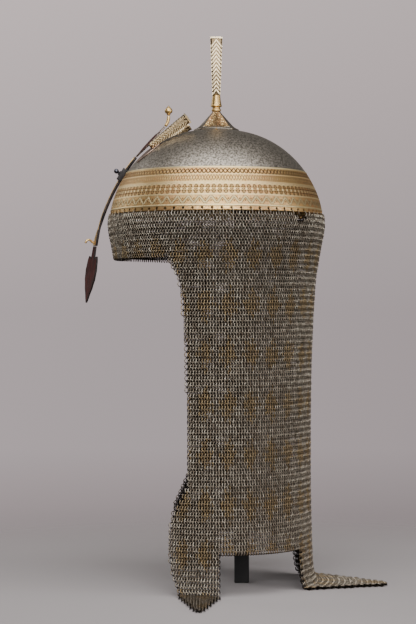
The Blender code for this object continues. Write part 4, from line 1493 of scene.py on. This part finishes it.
@dataclass
class Nasal:
    """Sliding nasal: bent bar, two barbed leaves, hook, stem and bud."""

    form: BowlForm
    leaf_border: float = 0.0011
    leaf_depth: float = 0.0003
    bar_border: float = 0.0011
    bar_depth: float = 0.00025
    bar_bevel: float = 0.0006
    leaf_bevel: float = 0.00015
    ridge_share: float = 1.6
    back_off: float = 0.06
    bud_steps: int = 28

    def facing(self, node: str) -> Vector:
        """Outward direction at a node's middle, away from a point inside the helmet.

        Args:
            node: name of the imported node.

        Returns:
            The direction.
        """
        low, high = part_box(node)
        middle = (low + high) / 2
        inside = Vector((self.form.axis_x + self.back_off, 0.0, self.form.rim - self.back_off))
        return (middle - inside).normalized()

    def build(
        self, gilding: bpy.types.Material, leaf_finish: bpy.types.Material, shaded_edge_finish: bpy.types.Material,
        beads_with_glints: bpy.types.Material,
    ) -> None:
        """Make the nasal's pieces.

        Args:
            gilding: material of the bar, hook, stem and bud.
            leaf_finish: material of the leaves' sunk fields.
            shaded_edge_finish: material of the bar's sides and of the lower leaf's border, dark steel
                painted darker as their shade.
            beads_with_glints: material of the upper leaf's border, whose pale specks are partly the beads'
                own metal and partly painted glints.
        """
        self.build_bar(gilding, shaded_edge_finish)
        for label, border in (("lower", shaded_edge_finish), ("upper", beads_with_glints)):
            self.build_leaf(label, leaf_finish, border)
        for node, name in (("nasal_stem", "nasal_stem_round"), ("nasal_hook", "nasal_hook_round")):
            piece = squared(node, name)
            apply_modifier(piece, "SUBSURF", levels=2, render_levels=2)
            shade(piece, math.radians(60.0))
            dress(piece, gilding, Slot.GILT, Body.NASAL, node)
        self.build_bud(gilding)

    def build_bar(self, gilding: bpy.types.Material, shaded_edge_finish: bpy.types.Material) -> None:
        """Make the bar, with a sunk field along its front.

        Args:
            gilding: material of the front.
            shaded_edge_finish: material of the sides and back, painted near black as their shade.
        """
        bar = squared("nasal_bar", "nasal_bar_bent")
        facing = self.facing("nasal_bar")
        with editing(bar):
            select_faces(bar, lambda face: face.normal.dot(facing) > 0.5)
            bpy.ops.mesh.inset(thickness=self.bar_border, depth=-self.bar_depth)
        bevelled(bar, self.bar_bevel)
        dress(bar, gilding, Slot.GILT, Body.NASAL, "nasal_bar")
        # painted shade: faces turned away from the front get the near-black edge finish
        bar.data.materials.append(shaded_edge_finish)
        for face in bar.data.polygons:
            if face.normal.dot(facing) < 0.3:
                face.material_index = 1

    def build_leaf(self, label: str, field: bpy.types.Material, edge: bpy.types.Material) -> None:
        """Make one leaf, with a sunk field on both faces that rises to a middle ridge.

        Args:
            label: lower or upper.
            field: material of the fields.
            edge: material of the border and edges.
        """
        node = f"nasal_{label}_leaf"
        leaf = refined(node, f"nasal_leaf_{label}")
        largest = sorted(leaf.data.polygons, key=lambda face: face.area)[-2:]
        normals = [face.normal.copy() for face in largest]
        area = largest[0].area * 0.5
        with editing(leaf):
            for normal in normals:

                def is_field(face: bmesh.types.BMFace, normal: Vector = normal) -> bool:
                    """Say whether a face is the leaf's large one on this side."""
                    return face.normal.dot(normal) > 0.99 and face.calc_area() > area

                select_faces(leaf, is_field)
                bpy.ops.mesh.inset(thickness=self.leaf_border, depth=-self.leaf_depth)
                bpy.ops.mesh.poke(offset=self.leaf_depth * self.ridge_share)
        dress(leaf, edge, Slot.RUSSET_STEEL, Body.NASAL, node)
        leaf.data.materials.append(field)
        for face in leaf.data.polygons:
            flat = max(face.normal.dot(normal) for normal in normals)
            if flat > 0.97 and len(face.vertices) == 3:
                face.material_index = 1
        bevelled(leaf, self.leaf_bevel)

    def build_bud(self, gilding: bpy.types.Material) -> None:
        """Make the bud with the rings under it.

        Args:
            gilding: its material.
        """
        low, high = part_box("nasal_bud")
        tall, wide = high.z - low.z, (high.x - low.x) / 2
        axis = Vector(((low.x + high.x) / 2, 0.0, low.z))
        shares = [
            (0.0, 0.0), (0.0, 0.30), (0.03, 0.44), (0.09, 0.52), (0.14, 0.46), (0.17, 0.50),
            (0.20, 0.72), (0.27, 0.90), (0.36, 0.99), (0.46, 1.0), (0.56, 0.93), (0.66, 0.76),
            (0.76, 0.52), (0.85, 0.28), (0.93, 0.12), (1.0, 0.0),
        ]
        outline = [(wide * out, tall * rise) for rise, out in shares]
        bud = turned("nasal_bud_turned", outline, axis, self.bud_steps)
        shade(bud)
        dress(bud, gilding, Slot.GILT, Body.NASAL, "nasal_bud")


@dataclass
class Bracket:
    """Staple that holds the nasal, and its ball-headed screw."""

    bevel: float = 0.00035

    def build(self, finish: bpy.types.Material, screw_finish: bpy.types.Material) -> None:
        """Make the staple and the screw.

        Args:
            finish: material of the staple.
            screw_finish: material of the screw.
        """
        staple = bevelled(refined("bracket", "bracket_staple"), self.bevel)
        dress(staple, finish, Slot.DARK_STEEL, Body.HELMET, "bracket")
        screw = squared("set_screw", "set_screw_ball")
        apply_modifier(screw, "SUBSURF", levels=1, render_levels=1)
        shade(screw)
        dress(screw, screw_finish, Slot.DARK_STEEL, Body.SCREW, "set_screw")


@dataclass
class Stand:
    """Square post and the pad that the bowl sits on."""

    post_bevel: float = 0.0007
    pad_bevel: float = 0.0008

    def build(self, finish: bpy.types.Material) -> None:
        """Make the post and the pad.

        Args:
            finish: material of both.
        """
        post = bevelled(refined("display_post", "display_post_painted"), self.post_bevel, 3)
        dress(post, finish, Slot.BLACK_POST, Body.HELMET, "display_post")
        pad = bevelled(refined("post_pad", "post_pad_felt"), self.pad_bevel)
        dress(pad, finish, Slot.BLACK_POST, Body.HELMET, "post_pad")


class DrapeRow(NamedTuple):
    """Place of the mail at one level.

    down is a share of the mail's length from the rim, radius a share of the bowl's
    radius, and edge a share of the mail's own radius there, which says how far
    forward of the axis the face opening's side lies.
    """

    down: float
    radius: float
    edge: float


DRAPE = [
    DrapeRow(0.000, 1.003, 0.470), DrapeRow(0.025, 1.010, 0.470), DrapeRow(0.052, 1.003, 0.470),
    DrapeRow(0.090, 0.978, 0.470), DrapeRow(0.132, 0.955, 0.470), DrapeRow(0.150, 0.946, 0.438),
    DrapeRow(0.187, 0.928, 0.372), DrapeRow(0.230, 0.915, 0.347), DrapeRow(0.323, 0.898, 0.322),
    DrapeRow(0.460, 0.882, 0.307), DrapeRow(0.620, 0.874, 0.294), DrapeRow(0.796, 0.874, 0.294),
    DrapeRow(0.835, 0.875, 0.350), DrapeRow(0.889, 0.879, 0.434), DrapeRow(0.925, 0.881, 0.476),
    DrapeRow(1.000, 0.887, 0.481),
]


class FlapRow(NamedTuple):
    """Place of the flaps at one level.

    down is a share of their hang, flare a share of the bowl's radius that they stand out
    by, and edge the same share as in DrapeRow.
    """

    down: float
    flare: float
    edge: float


FLAP_DRAPE = [
    FlapRow(0.35, 0.006, 0.458), FlapRow(0.60, 0.014, 0.412), FlapRow(0.80, 0.028, 0.372),
    FlapRow(0.92, 0.050, 0.360), FlapRow(1.00, 0.080, 0.350),
]


class MailPart(Enum):
    """Parts of the mail, each a piece of its own."""

    FRINGE = "mail_fringe_rings"
    TOP = "mail_rings_top"
    UPPER = "mail_rings_upper"
    LOWER = "mail_rings_lower"
    HEM = "mail_rings_hem"
    FLAP_LEFT = "mail_flap_left"
    FLAP_BACK = "mail_flap_back"
    FLAP_RIGHT = "mail_flap_right"


@dataclass
class Mail:
    """Mail of interlinked rings, which hang in columns from the rim's holes.

    Rings of one row lean one way and those of the next row the other, half a column
    aside, so that every ring passes through two above it and two below.
    """

    form: BowlForm
    length: float = 0.3255
    hang: float = 0.0405
    front_run: float = 0.0830
    back_run: float = 0.0750
    back_skew: float = math.radians(15.0)
    tip_share: float = 0.08
    fringe_length: float = 0.0430
    fringe_half: float = math.radians(62.0)
    front_flap_rear: float = math.radians(91.5)
    back_flap_half: float = math.radians(31.5)
    columns: int = 216
    row_pitch: float = 0.0028
    first_row: float = 0.0030
    ring_radius: float = 0.0024
    wire_radius: float = 0.00062
    hanger_wire: float = 0.00036
    wire_flatness: float = 0.78
    lean: float = math.radians(38.0)
    floor_height: float = 0.00195
    brass_columns: int = 8
    brass_rows: int = 17
    brass_first_column: int = 2
    brass_first_row: int = 14
    brass_clear_rows: int = 8
    brass_reach: tuple[float, float] = (2.9, 6.2)
    brass_share: float = 0.95
    edge_spare: float = 0.4
    lying_share: float = 0.3
    tilt: float = 0.05
    lost_rows: int = 3
    lost_column: float = 83.5
    lost_half: float = 2.2
    lost_taper: float = 0.5
    profile_step: float = 0.0005
    profile_blur: int = 10
    slope_reach: float = 0.001
    hanger_scale: float = 1.3
    hanger_columns: int = 3
    hanger_top: float = 0.0015
    hanger_inset: float = 0.0009
    seed: int = 11

    def ring(self, wire_radius: float) -> bpy.types.Mesh:
        """Model one ring of flattened wire, flat in X and Y.

        Args:
            wire_radius: half the wire's thickness.

        Returns:
            The ring's mesh.
        """
        choose_nothing()
        bpy.ops.mesh.primitive_torus_add(
            major_segments=8, minor_segments=3, major_radius=self.ring_radius,
            minor_radius=wire_radius, location=(0.0, 0.0, 0.0),
        )
        made = bpy.context.active_object
        choose(made)
        with editing(made, "VERT"):
            bpy.ops.mesh.select_all(action="SELECT")
            bpy.ops.transform.resize(value=(1.0, 1.0, self.wire_flatness))
        mesh = made.data
        bpy.data.objects.remove(made)
        return mesh

    def profile(self) -> np.ndarray:
        """Follow the mail down from the rim to the flaps' folds.

        Returns:
            Rows of path length, radius, height and edge share, half a millimetre apart.
        """
        form = self.form
        downs = np.array([row.down for row in DRAPE]) * self.length
        radii = np.array([row.radius for row in DRAPE]) * form.radius
        edges = np.array([row.edge for row in DRAPE])
        hem = radii[-1]
        downs = np.append(downs, [self.length + row.down * self.hang for row in FLAP_DRAPE])
        radii = np.append(radii, [hem + row.flare * form.radius for row in FLAP_DRAPE])
        edges = np.append(edges, [row.edge for row in FLAP_DRAPE])
        fine = np.arange(0.0, self.length + self.hang - self.floor_height, self.profile_step)
        blur = self.profile_blur
        window = np.hanning(2 * blur + 1)
        window /= window.sum()
        radius, edge = (
            np.convolve(np.pad(np.interp(fine, downs, column), blur, mode="edge"), window, mode="valid")
            for column in (radii, edges)
        )
        steps = np.hypot(np.diff(radius), np.diff(fine))
        path = np.concatenate([[0.0], np.cumsum(steps)])
        return np.column_stack([path, radius, form.rim - fine, edge])

    def build(self, finish: bpy.types.Material) -> None:
        """Make the rings of every part of the mail.

        Args:
            finish: the rings' material.
        """
        rng = np.random.default_rng(self.seed)
        profile = self.profile()
        ring = self.ring(self.wire_radius)
        places: dict[MailPart, list[np.ndarray]] = {part: [] for part in MailPart}
        tones: dict[MailPart, list[tuple[float, ...]]] = {part: [] for part in MailPart}
        path_end = profile[-1, 0]
        longest = path_end + self.front_run + self.form.radius
        row_count = int((longest - self.first_row) / self.row_pitch)
        for row in range(row_count):
            path = self.first_row + row * self.row_pitch
            for part, place, column in self.row_places(row, path, profile):
                if self.missing(row, column):
                    continue
                places[part].append(self.jittered(place, rng))
                tones[part].append(self.tone(row, column, path > path_end, rng))
        for part in MailPart:
            if not places[part]:
                continue
            node = "mail_fringe" if part is MailPart.FRINGE else "mail_curtain"
            piece = joined_copies(part.value, ring, np.array(places[part]), np.array(tones[part]))
            dress(piece, finish, Slot.MAIL, Body.HELMET, node)
        self.build_hangers(self.ring(self.hanger_wire), finish, rng)

    def missing(self, row: int, column: float) -> bool:
        """Say whether a ring is lost, at the small hole under the rim on the wearer's left."""
        half = self.lost_half - row * self.lost_taper
        return row < self.lost_rows and abs(column - self.lost_column) < half

    def row_places(
        self, row: int, path: float, profile: np.ndarray,
    ) -> Iterator[tuple[MailPart, np.ndarray, float]]:
        """Give the rings of one row.

        Args:
            row: number of the row, from the rim.
            path: length of mail above it.
            profile: rows from profile().

        Yields:
            The part that a ring belongs to, its matrix and its column.
        """
        shift = 0.5 if row % 2 == 0 else 0.0
        lean = self.lean if row % 2 == 0 else -self.lean
        path_end = profile[-1, 0]
        along = min(path, path_end)
        ahead = min(along + self.slope_reach, path_end)
        here, above, below = (
            [float(np.interp(where, profile[:, 0], profile[:, k])) for k in (1, 2, 3)]
            for where in (along, ahead - 2 * self.slope_reach, ahead)
        )
        radius, height, edge = here
        slope = (below[0] - above[0], below[1] - above[1])
        out, down = np.array(slope) / math.hypot(*slope)
        fold_height = self.hem_height() * 0.5
        for index in range(self.columns):
            column = index + shift
            angle = math.tau * column / self.columns
            from_face = min(angle, math.tau - angle)
            radial = Vector((-math.cos(angle), -math.sin(angle), 0.0))
            part = self.part_at(height, from_face, angle, edge)
            if part is None:
                continue
            centre = Vector((self.form.axis_x, 0.0, height)) + radial * radius
            downward = radial * out + UP * down
            if path > path_end:
                outward = self.flap_direction(part)
                over = path - path_end
                if not self.on_floor_flap(part, radial * radius, radius, edge, over):
                    continue
                centre = centre + outward * over
                downward = outward
            elif height < fold_height:
                share = 1.0 - height / fold_height
                outward = self.flap_direction(part)
                flat = radial.lerp(outward, share).normalized()
                downward = flat * out + UP * down
            sideways = UP.cross(radial)
            sideways = (sideways - downward * sideways.dot(downward)).normalized()
            normal = sideways.cross(downward)
            across = sideways * math.cos(lean) + normal * math.sin(lean)
            yield part, frame_matrix(across, downward, across.cross(downward), centre), column

    def hem_height(self) -> float:
        """Height of the curtain's hem above the ground."""
        return self.form.rim - self.length

    def part_at(self, height: float, from_face: float, angle: float, edge: float) -> MailPart | None:
        """Say which part of the mail a ring belongs to.

        Args:
            height: its height above the ground.
            from_face: its angle from the face, either way.
            angle: its angle from the face, round the wearer's left.
            edge: share of the radius at which the face opening's side lies.

        Returns:
            The part, or None where the mail is open.
        """
        if self.form.rim - height < self.fringe_length and from_face < self.fringe_half:
            return MailPart.FRINGE
        if from_face < math.acos(edge):
            return None
        if height < self.hem_height():
            if from_face < self.front_flap_rear:
                return MailPart.FLAP_LEFT if angle < math.pi else MailPart.FLAP_RIGHT
            return MailPart.FLAP_BACK if math.pi - from_face < self.back_flap_half else None
        quarter = int((self.form.rim - height) / self.length * 4)
        return (MailPart.TOP, MailPart.UPPER, MailPart.LOWER, MailPart.HEM)[min(quarter, 3)]

    def flap_direction(self, part: MailPart) -> Vector:
        """Direction in which a flap lies along the ground.

        Args:
            part: the flap.

        Returns:
            The level direction of its tip from its fold.
        """
        if part is MailPart.FLAP_LEFT:
            return Vector((0.0, -1.0, 0.0))
        if part is MailPart.FLAP_RIGHT:
            return Vector((0.0, 1.0, 0.0))
        return Vector((math.cos(self.back_skew), -math.sin(self.back_skew), 0.0))

    def on_floor_flap(
        self, part: MailPart, foot: Vector, radius: float, edge: float, over: float,
    ) -> bool:
        """Say whether a ring that lies on the ground is within the flap's triangle.

        Args:
            part: the flap.
            foot: the column's place at the fold, from the axis.
            radius: radius of the fold.
            edge: share of the radius at the face opening's side.
            over: length of mail past the fold.

        Returns:
            True where the ring is kept.
        """
        back = part is MailPart.FLAP_BACK
        if back:
            first, last = math.pi - self.back_flap_half, math.pi + self.back_flap_half
        else:
            first, last = math.acos(edge), self.front_flap_rear
        outward = self.flap_direction(part)
        ends = [Vector((-math.cos(turn), -math.sin(turn), 0.0)) * radius for turn in (first, last)]
        if part is MailPart.FLAP_RIGHT:
            ends = [Vector((end.x, -end.y, 0.0)) for end in ends]
        base = (ends[0] + ends[1]) / 2
        furthest = radius if back else radius * math.sin(first)
        reach = max(furthest, *(end.dot(outward) for end in ends)) - base.dot(outward)
        reach += self.back_run if back else self.front_run
        tip = base + outward * reach
        place = foot + outward * over
        if (place - base).dot(outward) > reach * (1.0 - self.tip_share):
            return False
        for end in ends:
            side = tip - end
            inward = Vector((side.y, -side.x, 0.0)).normalized()
            inward *= math.copysign(1.0, (base - end).dot(inward))
            if (place - end).dot(inward) < -self.ring_radius * self.edge_spare:
                return False
        return True

    def jittered(self, place: np.ndarray, rng: np.random.Generator) -> np.ndarray:
        """Turn a ring a little about its own axes, as hand-made mail has it.

        Args:
            place: the ring's matrix.
            rng: source of the small differences.

        Returns:
            The turned ring's matrix.
        """
        tilt = rng.normal(0.0, self.tilt, 2)
        turn = Matrix.Rotation(tilt[0], 3, "X") @ Matrix.Rotation(tilt[1], 3, "Y")
        made = place.copy()
        made[:3, :3] = place[:3, :3] @ np.array(turn)
        return made

    def tone(self, row: int, column: float, lying: bool, rng: np.random.Generator) -> tuple[float, ...]:
        """Shares of brass, brightness and rust of one ring, and its outer side.

        Args:
            row: number of its row.
            column: number of its column.
            lying: whether it lies on the ground, where its rings are made darker.
            rng: source of the small differences.

        Returns:
            Brass, brightness and rust, each from 0 to 1, and the side of the ring's own
            X axis that leans outward.
        """
        half_columns, half_rows = self.brass_columns / 2, self.brass_rows / 2
        side = abs((column - self.brass_first_column + half_columns) % self.brass_columns - half_columns)
        level = abs((row - self.brass_first_row + half_rows) % self.brass_rows - half_rows)
        reach = side / self.brass_reach[0] + level / self.brass_reach[1]
        chance, bright, rusty = rng.random(3)
        patch = reach + (chance - 0.5) * 0.5 < self.brass_share
        brass = 1.0 if row > self.brass_clear_rows and patch else 0.0
        outer = -1.0 if row % 2 == 0 else 1.0
        bright *= self.lying_share if lying else 1.0
        return brass * (0.35 + 0.45 * bright), 0.15 + 0.85 * bright, rusty ** 2 * 0.8, outer

    def build_hangers(
        self, ring: bpy.types.Mesh, finish: bpy.types.Material, rng: np.random.Generator,
    ) -> None:
        """Hang a larger ring through each hole of the rim.

        Args:
            ring: the ring's mesh.
            finish: its material.
            rng: source of the small differences.
        """
        places, tones = [], []
        scale = self.hanger_scale
        holes = self.columns // self.hanger_columns
        radius = self.form.radius - self.hanger_inset
        for index in range(holes):
            angle = math.tau * (index + 0.5) / holes
            radial = Vector((-math.cos(angle), -math.sin(angle), 0.0))
            sideways = UP.cross(radial)
            lean = rng.uniform(0.2, 0.6) * (1.0 if rng.random() < 0.8 else -1.0)
            across = radial * math.cos(lean) + sideways * math.sin(lean)
            centre = self.form.axis(self.hanger_top - self.ring_radius * scale) + radial * radius
            places.append(frame_matrix(
                across * scale, -UP * scale, across.cross(-UP) * scale, centre,
            ))
            tones.append((0.0, rng.uniform(0.2, 0.8), 0.3, 1.0))
        piece = joined_copies("mail_hanging_rings", ring, np.array(places), np.array(tones))
        dress(piece, finish, Slot.MAIL, Body.HELMET)


class Softbox(NamedTuple):
    """Soft area light: its place, its width and height, and its power in watts."""

    name: str
    place: Point
    width: float
    height: float
    power: float


@dataclass
class Studio:
    """Pale floor, soft lights and the camera."""

    camera_place: Point = (-0.0336, -1.700, 0.270)
    aim: Point = (-0.02, 0.0, 0.26)
    sensor: float = 36.0
    frame_height: float = 0.624
    floor_radius: float = 3.0
    floor_color: Color = (0.47, 0.43, 0.43)
    backdrop_low: float = -0.25
    backdrop_span: float = 0.50
    # painted light and shade on the backdrop: the dark stop stands for the shaded curve where the floor
    # turns up into the wall, and the rise to the top for light falling from above
    backdrop: tuple[tuple[float, Color], ...] = (
        (-0.20, (0.43, 0.372, 0.375)),
        (-0.13, (0.31, 0.263, 0.268)),
        (-0.08, (0.45, 0.390, 0.400)),
        (0.0, (0.46, 0.398, 0.408)),
        (0.20, (0.70, 0.600, 0.600)),
    )
    # painted shade: the backdrop grows dimmer towards +X
    painted_side_shade: float = 0.6
    ambient: Color = (0.10, 0.095, 0.09)
    softboxes: tuple[Softbox, ...] = (
        Softbox("overhead", (0.0, -0.75, 1.75), 2.4, 1.4, 29.0),
        Softbox("front", (0.1, -2.2, 0.9), 2.0, 1.2, 34.0),
        Softbox("right fill", (1.8, -0.7, 0.7), 0.9, 1.3, 9.0),
        Softbox("rear left", (-1.4, 0.8, 1.1), 0.8, 1.0, 4.0),
    )

    def build(self) -> None:
        """Make the floor, the world, the lights and the camera."""
        self.build_floor()
        self.build_world()
        for box in self.softboxes:
            self.build_softbox(box)
        self.build_camera()

    def build_floor(self) -> None:
        """Round floor whose far part fades into the backdrop."""
        choose_nothing()
        bpy.ops.mesh.primitive_circle_add(vertices=64, radius=self.floor_radius, fill_type="NGON")
        floor = bpy.context.active_object
        floor.name = "studio_floor"
        material, graph, shader, place = new_finish("studio floor")
        distance = graph.node("ShaderNodeVectorMath", operation="LENGTH")
        graph.feed(distance.inputs[0], place)
        graph.feed(shader.inputs["Alpha"], graph.rise(distance.outputs["Value"], 0.16, 0.75, 1.0, 0.0))
        shader.inputs["Base Color"].default_value = (*self.floor_color, 1.0)
        shader.inputs["Roughness"].default_value = 0.8
        floor.data.materials.append(material)

    def build_world(self) -> None:
        """Grey light all round, with a backdrop where the camera looks that is graded with painted light
        and shade.
        """
        world = bpy.data.worlds.new("studio")
        bpy.context.scene.world = world
        world.use_nodes = True
        graph = Graph(world.node_tree)
        for node in list(world.node_tree.nodes):
            world.node_tree.nodes.remove(node)
        direction = graph.node("ShaderNodeSeparateXYZ")
        graph.feed(direction.inputs[0], graph.node("ShaderNodeTexCoord").outputs["Generated"])
        above = graph.math("SUBTRACT", direction.outputs[2], self.backdrop_low)
        level = graph.math("DIVIDE", above, self.backdrop_span, clamp=True)
        ramp = graph.node("ShaderNodeValToRGB")
        graph.feed(ramp.inputs[0], level)
        stops = ramp.color_ramp.elements
        while len(stops) < len(self.backdrop):
            stops.new(0.5)
        for stop, (height, color) in zip(stops, self.backdrop):
            stop.position = (height - self.backdrop_low) / self.backdrop_span
            stop.color = (*color, 1.0)
        seen = graph.node("ShaderNodeBackground")
        graph.feed(seen.inputs[0], ramp.outputs[0])
        # painted shade: the backdrop's strength falls off towards +X
        fall = graph.math("MULTIPLY_ADD", direction.outputs[0], -self.painted_side_shade, 1.0)
        graph.feed(seen.inputs[1], fall)
        lighting = graph.node("ShaderNodeBackground")
        graph.feed(lighting.inputs[0], self.ambient)
        chooser = graph.node("ShaderNodeMixShader")
        graph.feed(chooser.inputs[0], graph.node("ShaderNodeLightPath").outputs["Is Camera Ray"])
        graph.feed(chooser.inputs[1], lighting.outputs[0])
        graph.feed(chooser.inputs[2], seen.outputs[0])
        output = graph.node("ShaderNodeOutputWorld")
        graph.feed(output.inputs[0], chooser.outputs[0])

    def build_softbox(self, box: Softbox) -> None:
        """Add a soft area light that looks at the helmet's middle.

        Args:
            box: what the light is like.
        """
        light = bpy.data.lights.new(box.name, "AREA")
        light.shape = "RECTANGLE"
        light.size, light.size_y = box.width, box.height
        light.energy = box.power
        lamp = bpy.data.objects.new(box.name, light)
        bpy.context.scene.collection.objects.link(lamp)
        lamp.location = box.place
        aim = Vector(self.aim) - Vector(box.place)
        lamp.rotation_euler = aim.to_track_quat("-Z", "Y").to_euler()

    def build_camera(self) -> None:
        """Level camera at the photograph's distance and height."""
        data = bpy.data.cameras.new("camera")
        data.sensor_width = self.sensor
        data.lens = self.sensor * -self.camera_place[1] / self.frame_height
        camera = bpy.data.objects.new("camera", data)
        camera.location = self.camera_place
        camera.rotation_euler = (math.pi / 2, 0.0, 0.0)
        bpy.context.scene.collection.objects.link(camera)
        bpy.context.scene.camera = camera


def main() -> None:
    """Build every sub-assembly and the studio."""
    logging.basicConfig(level=logging.INFO, format="%(message)s")
    Studio().build()
    form = BowlForm.from_frame()
    shared = SharedEffects(grain_group(), wear_group(), round_group(form.axis_x))

    gilding = WornGilding(
        "worn gilding", (0.97, 0.70, 0.32), (0.70, 0.43, 0.15), (0.22, 0.11, 0.04),
    ).build(shared)
    pale_gilding = WornGilding(
        "pale gilding", (1.0, 0.86, 0.60), (0.86, 0.68, 0.42), (0.40, 0.26, 0.13), dark_share=0.2,
    ).build(shared)
    ground = WornGilding(
        "chevron ground", (0.30, 0.22, 0.13), (0.16, 0.11, 0.06), (0.05, 0.03, 0.02),
    ).build(shared)
    plate = WornGilding(
        "plate gilding", (0.66, 0.50, 0.42), (0.40, 0.28, 0.22), (0.14, 0.09, 0.07), patch_scale=200.0,
    ).build(shared)
    russet = BrownedSteel(
        "russet steel", (0.14, 0.022, 0.016), (0.045, 0.010, 0.008), 0.5, 0.5,
    ).build(shared)
    # near-black steel that paints shade on the nasal bar's sides and back and on the lower leaf's border
    edge = BrownedSteel(
        "dark edge with painted shade", (0.040, 0.024, 0.020), (0.012, 0.008, 0.007), 0.55, 0.3,
    ).build(shared)
    # pale specks on the upper leaf's border: partly the beads' own pale metal and partly painted glints of
    # light caught on the beads
    beads_with_glints = BrownedSteel(
        "beaded edge with painted glints", (0.50, 0.40, 0.33), (0.035, 0.02, 0.016), 0.42, 0.8, streak=(650.0, 650.0, 650.0),
    ).build(shared)
    black_steel = BrownedSteel(
        "blackened steel", (0.055, 0.048, 0.048), (0.018, 0.015, 0.015), 0.5, 0.5,
    ).build(shared)
    blued_steel = BrownedSteel(
        "blued steel", (0.15, 0.15, 0.18), (0.05, 0.05, 0.065), 0.28, 1.0,
    ).build(shared)

    Bowl(form).build(WateredSteel(form.rim).build(shared), gilding)
    bar = unit_bar(0.16)
    finial = Finial(form)
    finial.build_base(PanelledGilding(finial.seat()).build(shared))
    finial.build_collar(gilding)
    finial.tube().build(ground, pale_gilding, bar)
    PlumeSockets(form).build(ground, pale_gilding, plate, bar)
    Nasal(form).build(gilding, russet, edge, beads_with_glints)
    Bracket().build(black_steel, blued_steel)
    Mail(form).build(MailRings().build(shared))
    Stand().build(PostPaint().build(shared))


if __name__ == "__main__":
    main()
